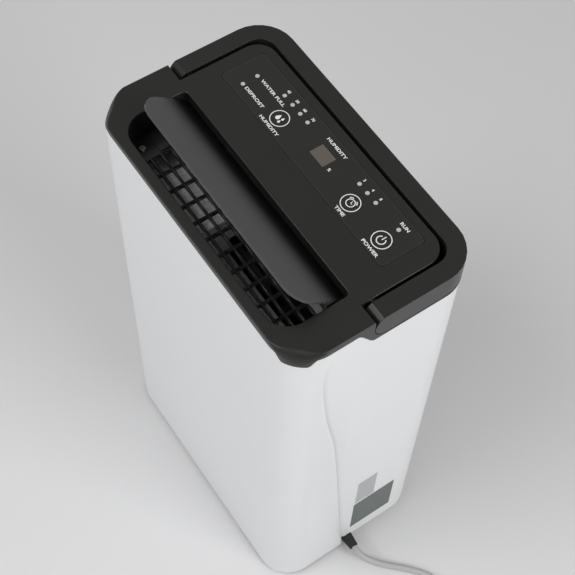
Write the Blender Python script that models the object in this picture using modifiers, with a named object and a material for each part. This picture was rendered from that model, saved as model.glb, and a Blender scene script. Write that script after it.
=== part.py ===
"""Dehumidifier: a tall white case with a black top, an outlet flap, a folding handle and press keys.

Metres, +Z up. The origin is the middle of the footprint on the floor, +X is the object's right side
and the front face looks along -Y. Every separate piece is one object in the collection "dehumidifier".
"""
import math

import bmesh
import bpy
import numpy as np
from mathutils import Matrix, Vector

# ---- driving dimensions -------------------------------------------------------------------------
WIDTH = 0.300           # across the front
DEPTH = 0.1814          # front face to back face
DECK_Z = 0.510          # height of the flat black top
CORNER_R = 0.034        # upright corners of the case
WALL = 0.0025           # moulded walls of the case and the top
GAP = 0.0003            # clearance between pieces that touch
RUN = 0.0005            # clearance round pieces that slide or turn
BEYOND = 0.02           # how far a cutter reaches past what it cuts
OVERLAP = 0.001         # how far pieces of one solid run into each other before they are joined

HALF_W = WIDTH / 2
HALF_D = DEPTH / 2
ACROSS = WIDTH / 0.300  # stretches places across the panel with the width

# case
CASE_BOTTOM_Z = 0.004   # lower edge of the front shell
REAR_BOTTOM_Z = 0.018   # lower edge of the rear shell
REAR_INSET = 0.0008     # the rear shell stands in from the front shell
PAN_INSET = 0.007       # the base pan stands in from the rear shell
PAN_WALL_TOP = 0.026
FOOT_H = 0.0045
FOOT_R = 0.009
FOOT_X = HALF_W - 0.030
FOOT_Y = HALF_D - 0.0307
PAN_BOTTOM = FOOT_H + GAP
PAN_FLOOR = PAN_BOTTOM + WALL
# side seam, top to bottom: (depth, height as a share of the deck's height)
SEAM = ((-0.0260, 0.9922), (-0.0400, 0.9755), (-0.0545, 0.9441), (-0.0588, 0.9020), (-0.0570, 0.8333),
        (-0.0500, 0.7255), (-0.0400, 0.6176), (-0.0315, 0.4706), (-0.0245, 0.3235), (-0.0150, 0.1314),
        (-0.0070, 0.0000))

# handle
HANDLE_W = 0.0165       # bar width seen from above
HANDLE_GAP = 0.003      # slot between the bar and the deck
HANDLE_INNER_R = 0.016
HANDLE_WALL = 0.0025
HANDLE_PROUD = 0.0005   # bar top above the deck
NOSE_R = 0.0136         # round end of each arm, about the pivot
NOSE_CLEAR = 0.0006
PIVOT_Y = 0.0
PIVOT_Z = DECK_Z - 0.0114
PIVOT_PIN_R = 0.0038
PIVOT_HEAD_R = 0.0060
PIVOT_HEAD_T = 0.0050
PIVOT_PIN_END = HALF_W - 0.0048
PIN_HOLE_R = PIVOT_PIN_R + GAP

# black top
SKIRT_Z = DECK_Z - 0.0065   # lower edge of the black top
CHIN_Z = DECK_Z - 0.0160    # the same edge at the two front corners
CHIN_IN_X = HALF_W - 0.0186  # inner corner of the deeper edge at its lowest
CHIN_IN_Y = -HALF_D + 0.0160
CHIN_SLOPE_X = 0.0066 / (SKIRT_Z - CHIN_Z)
CHIN_SLOPE_Y = 0.0092 / (SKIRT_Z - CHIN_Z)
RAMP_FRONT_Y = -0.031   # where the black edge starts to drop towards the handle
RAMP_BACK_Y = -0.012    # where it has reached the shelf under the handle
NOTCH_R = NOSE_R + NOSE_CLEAR
LEDGE_T = 0.0018        # thin shelf under the handle
LEDGE_TOP = PIVOT_Z - NOTCH_R
LEDGE_BOTTOM = LEDGE_TOP - LEDGE_T
HANDLE_BOTTOM = LEDGE_TOP + NOSE_CLEAR
HANDLE_TOP = DECK_Z + HANDLE_PROUD
DECK_HALF_X = HALF_W - HANDLE_W - HANDLE_GAP
DECK_BACK_Y = HALF_D - HANDLE_W - HANDLE_GAP
DECK_UNDER = DECK_Z - WALL
HOLLOW_SPLIT_Y = -0.0165    # the hollow is wider in front of this line than behind it

# air outlet
OUTLET_HALF_X = HALF_W - 0.0320
OUTLET_FRONT_Y = -HALF_D + 0.0097
OUTLET_BACK_Y = -0.0160
OUTLET_FRONT_R = 0.022
OUTLET_BACK_R = 0.004
DUCT_BOTTOM_Z = DECK_Z - 0.0540
DUCT_WALL = 0.0020
DUCT_IN_X = OUTLET_HALF_X + 0.0002      # inside of the duct, just outside the opening
DUCT_IN_FRONT_Y = OUTLET_FRONT_Y - 0.0002
DUCT_IN_BACK_Y = OUTLET_BACK_Y + 0.0022
GRILLE_Z = DECK_Z - 0.0340
GRILLE_T = 0.0050
GRILLE_TOP = GRILLE_Z + GRILLE_T
SCREW_HEAD_R = 0.0035
GRILLE_ROWS = 6
GRILLE_COLUMNS = 11
GRILLE_LEFT_X = -OUTLET_HALF_X + 0.0245     # the plate is blank to the left of this
BAR_PITCH_Y = (OUTLET_BACK_Y - OUTLET_FRONT_Y - 0.0050) / GRILLE_ROWS
BAR_PITCH_X = (2 * OUTLET_HALF_X - 0.0314) / GRILLE_COLUMNS
BAR_T = 0.0018
SCREW_X = -OUTLET_HALF_X + 0.0135
SCREW_Y = OUTLET_FRONT_Y + 0.0125

# flap
FLAP_OPEN = math.radians(39.0)    # how far the flap stands open at rest
FLAP_AXIS_Y = -0.0340
FLAP_AXIS_Z = DECK_Z - 0.0120
FLAP_T = 0.0022
FLAP_CLEAR = 0.0017
FLAP_CROWN_R = 0.200
FLAP_PIN_R = 0.0015
LUG_R = 0.0040
LUG_T = 0.0026

# control panel
PANEL_X = (-0.117 * ACROSS, 0.112 * ACROSS)
PANEL_Y = (DECK_BACK_Y - 0.0532, DECK_BACK_Y - 0.0092)
PANEL_R = 0.004
PANEL_T = 0.0008
POCKET_FLOOR = DECK_Z - PANEL_T - GAP
KEY_R = 0.00885
KEY_Y = PANEL_Y[0] + 0.0154
KEY_X = {"humidity_key": -0.0507 * ACROSS, "time_key": 0.0501 * ACROSS, "power_key": 0.0918 * ACROSS}
KEY_TRAVEL = 0.0005
KEY_CAP_T = 0.0011
KEY_STEM_R = 0.0036
KEY_WELL_Z = DECK_Z - KEY_CAP_T - KEY_TRAVEL - 0.0001
WINDOW_X = (-0.0095, 0.0092)
WINDOW_Y = (PANEL_Y[0] + 0.0167, PANEL_Y[0] + 0.0305)
LAMP_R = 0.0014
# lamps: (place across at the nominal width, distance from the film's front edge)
LAMPS = [(x * ACROSS, PANEL_Y[0] + y) for x, y in (
    (-0.0982, 0.0249), (-0.0978, 0.0100), (-0.0682, 0.0324), (-0.0565, 0.0324), (-0.0453, 0.0324),
    (-0.0346, 0.0324), (0.0391, 0.0323), (0.0498, 0.0323), (0.0611, 0.0323), (0.0917, 0.0323))]
GUIDE_Z = (DECK_Z - 0.0060, DECK_Z - 0.0038)
BOARD_Z = DECK_Z - 0.0130
BOARD_T = 0.0016
SWITCH_TOP = DECK_Z - 0.0074
KEY_STEM_END = SWITCH_TOP + KEY_TRAVEL + 0.0004
WINDOW_LIP = 0.001      # the window rests on this much deck all round
HOLES_FROM_Z = DECK_Z - 0.010   # holes through the deck start below it

# shelf between the machine room below and the air path above
SHELF_Z = 0.2360
SHELF_T = 0.0030
DRAIN_X = -0.040
SPOUT_R = 0.0070
SPOUT_BORE_R = 0.0045
DRAIN_Y = HALF_D - 0.0457

# fan and its foam scroll
SCROLL_HALF_X = HALF_W - 0.026
SCROLL_Y = (-HALF_D + 0.0072, HALF_D - 0.0647)
SCROLL_Z = (SHELF_Z + SHELF_T + GAP, DUCT_BOTTOM_Z - GAP)
FAN_Z = SHELF_Z + 0.109
FAN_R = 0.0750
FAN_FRONT_Y = -0.0340
FAN_BACK_Y = HALF_D - 0.0757
FAN_BLADES = 16
THROAT_X = (-0.020, HALF_W - 0.042)
THROAT_Z = (FAN_Z + 0.055, FAN_Z + 0.075)
MOTOR_R = 0.040
MOTOR_FACE_Y = FAN_FRONT_Y - 0.0110
SHAFT_R = 0.0030
SHAFT_FRONT_Y = SCROLL_Y[0] + 0.0235
HUB_R = 0.012

# coils
COIL_HALF_X = HALF_W - 0.052
COIL_Z = (SHELF_Z + 0.026, SHELF_Z + 0.212)
FINS = 24
TUBE_R = 0.0030
TUBE_ROWS = 9
TUBE_PITCH = 0.0200
TUBE_Z0 = COIL_Z[0] + 0.010
TUBE_Z_TOP = TUBE_Z0 + (TUBE_ROWS - 1) * TUBE_PITCH
CONDENSER_Y = HALF_D - 0.0482
EVAPORATOR_Y = HALF_D - 0.0407
COIL_FACES_Y = (HALF_D - 0.0615, HALF_D - 0.0257)
SERPENTINE_END = COIL_HALF_X + 0.012
DRIP_TRAY_Z = (SHELF_Z + SHELF_T + GAP, SHELF_Z + 0.016)
DRIP_TRAY_Y = (HALF_D - 0.0639, HALF_D - 0.0167)
SPOUT_END_Z = SHELF_Z - 0.021

# intake
INTAKE_HALF_X = HALF_W - 0.045
INTAKE_Z = (SHELF_Z + 0.027, SHELF_Z + 0.217)
INTAKE_T = 0.0025
FILTER_Y = (HALF_D - REAR_INSET - INTAKE_T - 0.0048, HALF_D - REAR_INSET - INTAKE_T - GAP)

# refrigerating machine
COMPRESSOR_X = HALF_W - 0.067
COMPRESSOR_Y = -HALF_D + 0.0807
COMPRESSOR_R = 0.046
COMPRESSOR_Z = 0.0200
COMPRESSOR_TOP = SHELF_Z - 0.060
MOUNT_CIRCLE_R = 0.054
FOOT_TAB_R = 0.0085
MOUNT_R = 0.0075
DISCHARGE_X = HALF_W - 0.024
SUCTION_X = HALF_W - 0.014

# water tank
TANK_X = (-HALF_W + 0.035, COMPRESSOR_X - 0.063)
TANK_Y_FRONT = -HALF_D + 0.0307
TANK_Z = (0.030, SHELF_Z - 0.031)
TANK_WALL = 0.0020
TANK_FACE_TOP = TANK_Z[1] + 0.0033
FLOAT_X = TANK_X[0] + 0.020
FLOAT_Y = TANK_Y_FRONT + 0.020
FLOAT_R = 0.0130
FLOAT_H = 0.018
FLOAT_POST_R = 0.0025

# mains lead
CORD_R = 0.0035
CORD_EXIT_Y = -0.002
CORD_EXIT_Z = 0.0150
GLAND_R = 0.0070
GLAND_NECK_R = 0.0055
COIL_X = HALF_W + 0.137
COIL_Y = 0.006
COIL_MID_R = 0.0385     # middle of the lead's turns
COIL_BUNDLE_W = 0.0220
COIL_BUNDLE_H = 0.0150
PLUG_Y = COIL_Y - 0.0542
PLUG_Z = 0.0070
FLOOR_CLEAR = 0.0002    # the lead and the plug lie this far above the floor
# Route of the stretch that is not coiled: (out from the case's side, depth, height), chosen by hand.
CORD_ROUTE = [(HALF_W + out, y, z) for out, y, z in (
    (0.0135, -0.0020, 0.0150), (0.0190, -0.0020, 0.0150), (0.0260, -0.0002, 0.0132), (0.0335, 0.0050, 0.0090),
    (0.0415, 0.0125, 0.0052), (0.0500, 0.0212, 0.0038), (0.0595, 0.0310, 0.0037), (0.0690, 0.0398, 0.0037),
    (0.0800, 0.0480, 0.0037), (0.0930, 0.0540, 0.0037), (0.1070, 0.0580, 0.0037), (0.1220, 0.0595, 0.0037),
    (0.1370, 0.0596, 0.0037))]

PARTS = None
CUTTERS = None


# ---- scene and materials ------------------------------------------------------------------------
def start_scene():
    """Empties the scene and makes the two collections."""
    global PARTS, CUTTERS
    for obj in list(bpy.data.objects):
        bpy.data.objects.remove(obj, do_unlink=True)
    PARTS = bpy.data.collections.new("dehumidifier")
    CUTTERS = bpy.data.collections.new("cutters")
    bpy.context.scene.collection.children.link(PARTS)
    bpy.context.scene.collection.children.link(CUTTERS)


def material(name, rgb, roughness, metallic=0.0):
    """One Principled material, made once and shared."""
    found = bpy.data.materials.get(name)
    if found:
        return found
    made = bpy.data.materials.new(name)
    made.use_nodes = True
    shader = made.node_tree.nodes["Principled BSDF"]
    shader.inputs["Base Color"].default_value = (*rgb, 1.0)
    shader.inputs["Roughness"].default_value = roughness
    shader.inputs["Metallic"].default_value = metallic
    made.diffuse_color = (*rgb, 1.0)
    return made


FINISHES = {
    "white_abs": ((0.80, 0.80, 0.79), 0.35, 0.0),
    "black_abs": ((0.030, 0.030, 0.028), 0.45, 0.0),
    "grey_flap": ((0.060, 0.060, 0.060), 0.40, 0.0),
    "panel_film": ((0.018, 0.018, 0.018), 0.30, 0.0),
    "smoked_window": ((0.040, 0.035, 0.030), 0.15, 0.0),
    "lamp_plastic": ((0.70, 0.70, 0.70), 0.30, 0.0),
    "foam": ((0.85, 0.86, 0.86), 0.80, 0.0),
    "tank_plastic": ((0.60, 0.64, 0.68), 0.25, 0.0),
    "filter_mesh": ((0.10, 0.10, 0.11), 0.70, 0.0),
    "circuit_board": ((0.05, 0.20, 0.09), 0.50, 0.0),
    "aluminium": ((0.72, 0.73, 0.75), 0.40, 1.0),
    "copper": ((0.72, 0.38, 0.24), 0.35, 1.0),
    "steel": ((0.56, 0.57, 0.58), 0.35, 1.0),
    "black_steel": ((0.025, 0.025, 0.027), 0.45, 0.0),
    "rubber": ((0.030, 0.030, 0.030), 0.80, 0.0),
    "label_film": ((0.45, 0.52, 0.50), 0.50, 0.0),
    "pale_label": ((0.66, 0.66, 0.68), 0.50, 0.0),
    "cord_pvc": ((0.62, 0.63, 0.62), 0.55, 0.0),
}


def finish(name):
    rgb, roughness, metallic = FINISHES[name]
    return material(name, rgb, roughness, metallic)


# ---- building blocks ----------------------------------------------------------------------------
def add_mesh(name, mesh, look=None):
    """Puts a mesh into the scene: a part when it has a look, a cutter when it has none."""
    obj = bpy.data.objects.new(name, mesh)
    if look:
        mesh.materials.clear()
        mesh.materials.append(finish(look))
        PARTS.objects.link(obj)
    else:
        CUTTERS.objects.link(obj)
        obj.hide_render = True
        obj.display_type = "WIRE"
    return obj


def from_bmesh(name, bm, look=None):
    mesh = bpy.data.meshes.new(name)
    bm.to_mesh(mesh)
    bm.free()
    return add_mesh(name, mesh, look)


def boxes(name, corners, look=None):
    """One mesh of one or more plain blocks, each given as ((x0, y0, z0), (x1, y1, z1))."""
    bm = bmesh.new()
    for low, high in corners:
        low = Vector(low)
        high = Vector(high)
        size = high - low
        place = Matrix.Translation((low + high) / 2) @ Matrix.Diagonal((*size, 1.0))
        bmesh.ops.create_cube(bm, size=1.0, matrix=place)
    return from_bmesh(name, bm, look)


def rod(name, start, end, radius, look=None, sides=24, end_radius=None):
    """A cylinder or cone from start to end."""
    start = Vector(start)
    end = Vector(end)
    turn = (end - start).to_track_quat("Z", "Y").to_matrix().to_4x4()
    bm = bmesh.new()
    bmesh.ops.create_cone(
        bm,
        cap_ends=True,
        segments=sides,
        radius1=radius,
        radius2=radius if end_radius is None else end_radius,
        depth=(end - start).length,
        matrix=Matrix.Translation((start + end) / 2) @ turn,
    )
    return from_bmesh(name, bm, look)


def curve_to_mesh(curve_obj, name, look=None):
    """Turns a curve object into a welded mesh object in the same place."""
    bpy.context.view_layer.update()
    evaluated = curve_obj.evaluated_get(bpy.context.evaluated_depsgraph_get())
    mesh = bpy.data.meshes.new_from_object(evaluated)
    mesh.name = name
    mesh.transform(curve_obj.matrix_world)
    bm = bmesh.new()
    bm.from_mesh(mesh)
    bmesh.ops.remove_doubles(bm, verts=bm.verts, dist=1e-6)
    bmesh.ops.recalc_face_normals(bm, faces=bm.faces)
    bm.to_mesh(mesh)
    bm.free()
    curve = curve_obj.data
    bpy.data.objects.remove(curve_obj)
    bpy.data.curves.remove(curve)
    return add_mesh(name, mesh, look)


def plate(name, outline, low, high, look=None, along="Z", holes=()):
    """A flat outline given thickness from low to high along one axis.

    along Z: outline is (x, y). along X: outline is (y, z). along Y: outline is (x, z).
    """
    curve = bpy.data.curves.new(name, "CURVE")
    curve.dimensions = "2D"
    curve.fill_mode = "BOTH"
    curve.extrude = (high - low) / 2
    for points in (outline, *holes):
        spline = curve.splines.new("POLY")
        spline.points.add(len(points) - 1)
        for point, (u, v) in zip(spline.points, points):
            point.co = (u, v, 0.0, 1.0)
        spline.use_cyclic_u = True
    obj = bpy.data.objects.new(name, curve)
    bpy.context.scene.collection.objects.link(obj)
    middle = (low + high) / 2
    if along == "X":
        turn = Matrix(((0, 0, 1, middle), (1, 0, 0, 0), (0, 1, 0, 0), (0, 0, 0, 1)))
    elif along == "Y":
        turn = Matrix(((1, 0, 0, 0), (0, 0, -1, middle), (0, 1, 0, 0), (0, 0, 0, 1)))
    else:
        turn = Matrix.Translation((0, 0, middle))
    obj.matrix_world = turn
    return curve_to_mesh(obj, name, look)


def tube(name, points, radius, look=None, resolution=2):
    """A round tube with filled ends along a list of points."""
    curve = bpy.data.curves.new(name, "CURVE")
    curve.dimensions = "3D"
    curve.bevel_depth = radius
    curve.bevel_resolution = resolution
    curve.use_fill_caps = True
    spline = curve.splines.new("POLY")
    spline.points.add(len(points) - 1)
    for point, co in zip(spline.points, points):
        point.co = (*co, 1.0)
    obj = bpy.data.objects.new(name, curve)
    bpy.context.scene.collection.objects.link(obj)
    return curve_to_mesh(obj, name, look)


def turned(name, profile, place, look=None, steps=24, ring=False):
    """A turned solid: (radius, height) points from the top down the outer side; a ring's profile is closed."""
    bm = bmesh.new()
    verts = [bm.verts.new((radius, 0.0, height)) for radius, height in profile]
    for first, second in zip(verts, verts[1:] + verts[:1] if ring else verts[1:]):
        bm.edges.new((first, second))
    obj = from_bmesh(name, bm, look)
    obj.matrix_world = place
    screw = obj.modifiers.new("turn", "SCREW")
    screw.axis = "Z"
    screw.steps = steps
    screw.render_steps = steps
    screw.use_merge_vertices = True
    screw.merge_threshold = 1e-5
    screw.use_smooth_shade = False
    return obj


def combine(target, operation, others):
    """Adds live Boolean modifiers; the other objects are guides that stay out of the model."""
    for other in others:
        step = target.modifiers.new(f"{operation.lower()} {other.name}", "BOOLEAN")
        step.operation = operation
        step.solver = "EXACT"
        step.object = other
    return target


def cut(target, *others):
    return combine(target, "DIFFERENCE", others)


def join(target, *others):
    return combine(target, "UNION", others)


def arc(cx, cy, radius, start, end, steps):
    """Points on an arc, angles in degrees."""
    angles = np.radians(np.linspace(start, end, steps + 1))
    return [(cx + radius * math.cos(a), cy + radius * math.sin(a)) for a in angles]


def rounded(x0, x1, y0, y1, front_r, back_r=None, steps=5):
    """Rounded rectangle, anticlockwise from the front left corner."""
    back_r = front_r if back_r is None else back_r
    points = arc(x0 + front_r, y0 + front_r, front_r, 180, 270, steps)
    points += arc(x1 - front_r, y0 + front_r, front_r, 270, 360, steps)
    points += arc(x1 - back_r, y1 - back_r, back_r, 0, 90, steps)
    points += arc(x0 + back_r, y1 - back_r, back_r, 90, 180, steps)
    return points


def rectangle(x0, x1, y0, y1):
    return [(x0, y0), (x1, y0), (x1, y1), (x0, y1)]


def case_outline(inset=0.0, steps=7):
    """The case seen from above, moved in by inset."""
    return rounded(-HALF_W + inset, HALF_W - inset, -HALF_D + inset, HALF_D - inset, CORNER_R - inset,
                   steps=steps)


def smooth(points, count):
    """Catmull-Rom curve through the points, count points for each span."""
    pts = np.array(points, float)
    ends = np.vstack([2 * pts[0] - pts[1], pts, 2 * pts[-1] - pts[-2]])
    out = []
    for a, b, c, d in zip(ends, ends[1:], ends[2:], ends[3:]):
        for t in np.linspace(0, 1, count, endpoint=False):
            out.append(0.5 * (2 * b + (c - a) * t + (2 * a - 5 * b + 4 * c - d) * t * t
                              + (3 * b - a - 3 * c + d) * t ** 3))
    out.append(pts[-1])
    return [tuple(p) for p in out]


# ---- case ---------------------------------------------------------------------------------------
def seam_line():
    """The side seam as (y, z) points, top to bottom."""
    return smooth([(y, share * DECK_Z) for y, share in SEAM], 3)


def edge_line():
    """Lower edge of the black top seen from the side, front to back: level, an S-shaped drop, level."""
    points = [(-HALF_D - BEYOND, SKIRT_Z)]
    for t in np.linspace(0, 1, 9):
        y = RAMP_FRONT_Y + (RAMP_BACK_Y - RAMP_FRONT_Y) * t
        points.append((y, SKIRT_Z + (LEDGE_BOTTOM - SKIRT_Z) * t * t * (3 - 2 * t)))
    points.append((HALF_D + BEYOND, LEDGE_BOTTOM))
    return points


def chin(name, side, grow):
    """Tapered block that holds the deeper black edge at one front corner; side is -1 or 1."""
    top = SKIRT_Z + BEYOND
    bottom = CHIN_Z - grow
    bm = bmesh.new()
    bmesh.ops.create_cube(bm, size=1.0)
    for vert in bm.verts:
        z = top if vert.co.z > 0 else bottom
        rise = z - CHIN_Z
        inner_x = CHIN_IN_X - CHIN_SLOPE_X * rise - grow
        inner_y = CHIN_IN_Y + CHIN_SLOPE_Y * rise + grow
        x = HALF_W + BEYOND if vert.co.x * side > 0 else inner_x
        y = inner_y if vert.co.y > 0 else -HALF_D - BEYOND
        vert.co = (side * x, y, z)
    return from_bmesh(name, bm)


def shell_top_cutters(name):
    """Everything above the upper edge of the white case."""
    line = [(y, z - GAP) for y, z in edge_line()]
    above = line + [(HALF_D + BEYOND, DECK_Z + BEYOND), (-HALF_D - BEYOND, DECK_Z + BEYOND)]
    reach = HALF_W + BEYOND
    return [
        plate(f"{name}_above_edge", above, -reach, reach, along="X"),
        chin(f"{name}_chin_left", -1, GAP),
        chin(f"{name}_chin_right", 1, GAP),
    ]


def seam_prism(name, shift):
    """Everything behind the side seam, with the seam moved back by shift."""
    line = [(y + shift, z) for y, z in seam_line()]
    behind = [(line[0][0], DECK_Z + BEYOND)] + line
    behind += [(line[-1][0], -BEYOND), (HALF_D + BEYOND, -BEYOND), (HALF_D + BEYOND, DECK_Z + BEYOND)]
    reach = HALF_W + BEYOND
    return plate(name, behind, -reach, reach, along="X")


def gland_hole(name):
    return rod(name, (HALF_W - BEYOND, CORD_EXIT_Y, CORD_EXIT_Z), (HALF_W + BEYOND, CORD_EXIT_Y, CORD_EXIT_Z),
               GLAND_R + RUN)


def case():
    front = plate("front_shell", case_outline(), CASE_BOTTOM_Z, DECK_Z, "white_abs",
                  holes=[case_outline(WALL)])
    cut(front, seam_prism("seam_for_front", -GAP / 2), *shell_top_cutters("front"),
        gland_hole("front_gland_hole"))

    rear = plate("rear_shell", case_outline(REAR_INSET), REAR_BOTTOM_Z, DECK_Z, "white_abs",
                 holes=[case_outline(REAR_INSET + WALL)])
    keep = seam_prism("seam_for_rear", GAP / 2)
    combine(rear, "INTERSECT", [keep])
    inside = HALF_D - 0.015
    outside = HALF_D + BEYOND
    openings = boxes("rear_openings", [
        ((-INTAKE_HALF_X - RUN, inside, INTAKE_Z[0] - RUN), (INTAKE_HALF_X + RUN, outside, INTAKE_Z[1] + RUN)),
        ((TANK_X[0] - RUN, inside, TANK_Z[0] - RUN), (TANK_X[1] + RUN, outside, TANK_FACE_TOP + RUN)),
    ])
    cut(rear, *shell_top_cutters("rear"), openings, gland_hole("rear_gland_hole"))


def base():
    """The floor pan with its upstand and the two runners that the tank stands on, and the feet."""
    outline = case_outline(REAR_INSET + PAN_INSET)
    pan = plate("base_pan", outline, PAN_BOTTOM, PAN_WALL_TOP, "white_abs")
    hollow = plate("pan_hollow", case_outline(REAR_INSET + PAN_INSET + WALL), PAN_FLOOR, PAN_WALL_TOP + BEYOND)
    runners = boxes("tank_runners", [
        ((x, TANK_Y_FRONT, PAN_FLOOR - 0.001), (x + 0.005, HALF_D - 0.016, TANK_Z[0] - GAP))
        for x in (TANK_X[0] + 0.010, TANK_X[1] - 0.015)
    ])
    cut(pan, hollow, rod("pan_gland_hole", (HALF_W - 0.03, CORD_EXIT_Y, CORD_EXIT_Z),
                         (HALF_W + BEYOND, CORD_EXIT_Y, CORD_EXIT_Z), GLAND_NECK_R + GAP))
    join(pan, runners)
    places = [(x, y) for y in (-FOOT_Y, FOOT_Y) for x in (-FOOT_X, FOOT_X)]
    for number, (x, y) in enumerate(places, 1):
        rod(f"foot_{number}", (x, y, 0.0), (x, y, FOOT_H), FOOT_R, "rubber", sides=20)


def shelf():
    """Level shelf between the machine room and the air path, with openings for the pipes and the drain."""
    inset = REAR_INSET + WALL + RUN
    holes = [
        arc(DRAIN_X, DRAIN_Y, 0.0095, 0, 345, 15),
        rounded(HALF_W - 0.040, HALF_W - 0.008, CONDENSER_Y - 0.0105, EVAPORATOR_Y + 0.0080, 0.004, steps=2),
        rounded(-HALF_W + 0.008, -HALF_W + 0.030, -0.070, -0.040, 0.004, steps=2),
    ]
    plate("mid_shelf", case_outline(inset), SHELF_Z, SHELF_Z + SHELF_T, "steel", holes=holes)


# ---- black top ----------------------------------------------------------------------------------
def top_cover():
    cover = plate("top_cover", case_outline(), LEDGE_BOTTOM, DECK_Z, "black_abs")
    reach = HALF_W + BEYOND
    low = LEDGE_BOTTOM - BEYOND
    high = DECK_Z + BEYOND

    below = edge_line() + [(HALF_D + BEYOND, low), (-HALF_D - BEYOND, low)]
    below_edge = plate("below_black_edge", below, -reach, reach, along="X")
    cut(below_edge, chin("chin_left", -1, 0.0), chin("chin_right", 1, 0.0))

    channel = boxes("handle_channel", [((-reach, PIVOT_Y, LEDGE_TOP), (reach, HALF_D + BEYOND, high))])
    core_outline = rounded(-DECK_HALF_X, DECK_HALF_X, -HALF_D, DECK_BACK_Y,
                           CORNER_R, HANDLE_INNER_R + HANDLE_GAP)
    cut(channel, plate("deck_core", core_outline, low, high + BEYOND))

    notch = [(PIVOT_Y - NOTCH_R, high)] + arc(PIVOT_Y, PIVOT_Z, NOTCH_R, 180, 270, 10)
    notch += [(PIVOT_Y + OVERLAP, LEDGE_TOP), (PIVOT_Y + OVERLAP, high)]
    notches = [plate("nose_notch_left", notch, -reach, -DECK_HALF_X, along="X"),
               plate("nose_notch_right", notch, DECK_HALF_X, reach, along="X")]

    half_in = DECK_HALF_X - WALL
    back_outline = rounded(-half_in, half_in, HOLLOW_SPLIT_Y - OVERLAP, DECK_BACK_Y - WALL,
                           OVERLAP, HANDLE_INNER_R)
    inner_back = plate("deck_hollow_back", back_outline, low, DECK_UNDER)
    front_outline = [(x, y) for x, y in case_outline(WALL) if y < 0]
    front_outline += [(HALF_W - WALL, HOLLOW_SPLIT_Y), (-HALF_W + WALL, HOLLOW_SPLIT_Y)]
    inner_front = plate("deck_hollow_front", front_outline, low, DECK_UNDER)

    opening_outline = rounded(-OUTLET_HALF_X, OUTLET_HALF_X, OUTLET_FRONT_Y, OUTLET_BACK_Y,
                              OUTLET_FRONT_R, OUTLET_BACK_R)
    opening = plate("outlet_opening", opening_outline, low, high)
    pocket_outline = rounded(PANEL_X[0] - GAP, PANEL_X[1] + GAP, PANEL_Y[0] - GAP, PANEL_Y[1] + GAP,
                             PANEL_R, steps=3)
    pocket = plate("panel_pocket", pocket_outline, POCKET_FLOOR, high)
    cut(cover, below_edge, channel, *notches, inner_back, inner_front, opening, pocket)

    for name, x in KEY_X.items():
        well = rod(f"{name}_well", (x, KEY_Y, KEY_WELL_Z), (x, KEY_Y, DECK_Z + OVERLAP), KEY_R + RUN, sides=24)
        hole = rod(f"{name}_hole", (x, KEY_Y, HOLES_FROM_Z), (x, KEY_Y, DECK_Z), KEY_STEM_R + RUN, sides=12)
        cut(cover, well, hole)
    window = ((WINDOW_X[0] + WINDOW_LIP, WINDOW_Y[0] + WINDOW_LIP, HOLES_FROM_Z),
              (WINDOW_X[1] - WINDOW_LIP, WINDOW_Y[1] - WINDOW_LIP, DECK_Z))
    cut(cover, boxes("display_opening", [window]))
    cut(cover, lamp_posts("deck_lamp_holes", LAMP_R + GAP, HOLES_FROM_Z, DECK_Z))
    pins = [rod(f"pivot_hole_{side}", (side * (DECK_HALF_X - 0.01), PIVOT_Y, PIVOT_Z),
                (side * (DECK_HALF_X + 0.002), PIVOT_Y, PIVOT_Z), PIN_HOLE_R, sides=20) for side in (-1, 1)]
    cut(cover, *pins)


def lamp_posts(name, radius, low, high, look=None):
    """Ten round posts, one for each lamp, in one mesh."""
    bm = bmesh.new()
    for x, y in LAMPS:
        bmesh.ops.create_cone(bm, cap_ends=True, segments=8, radius1=radius, radius2=radius, depth=high - low,
                              matrix=Matrix.Translation((x, y, (low + high) / 2)))
    return from_bmesh(name, bm, look)


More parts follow.
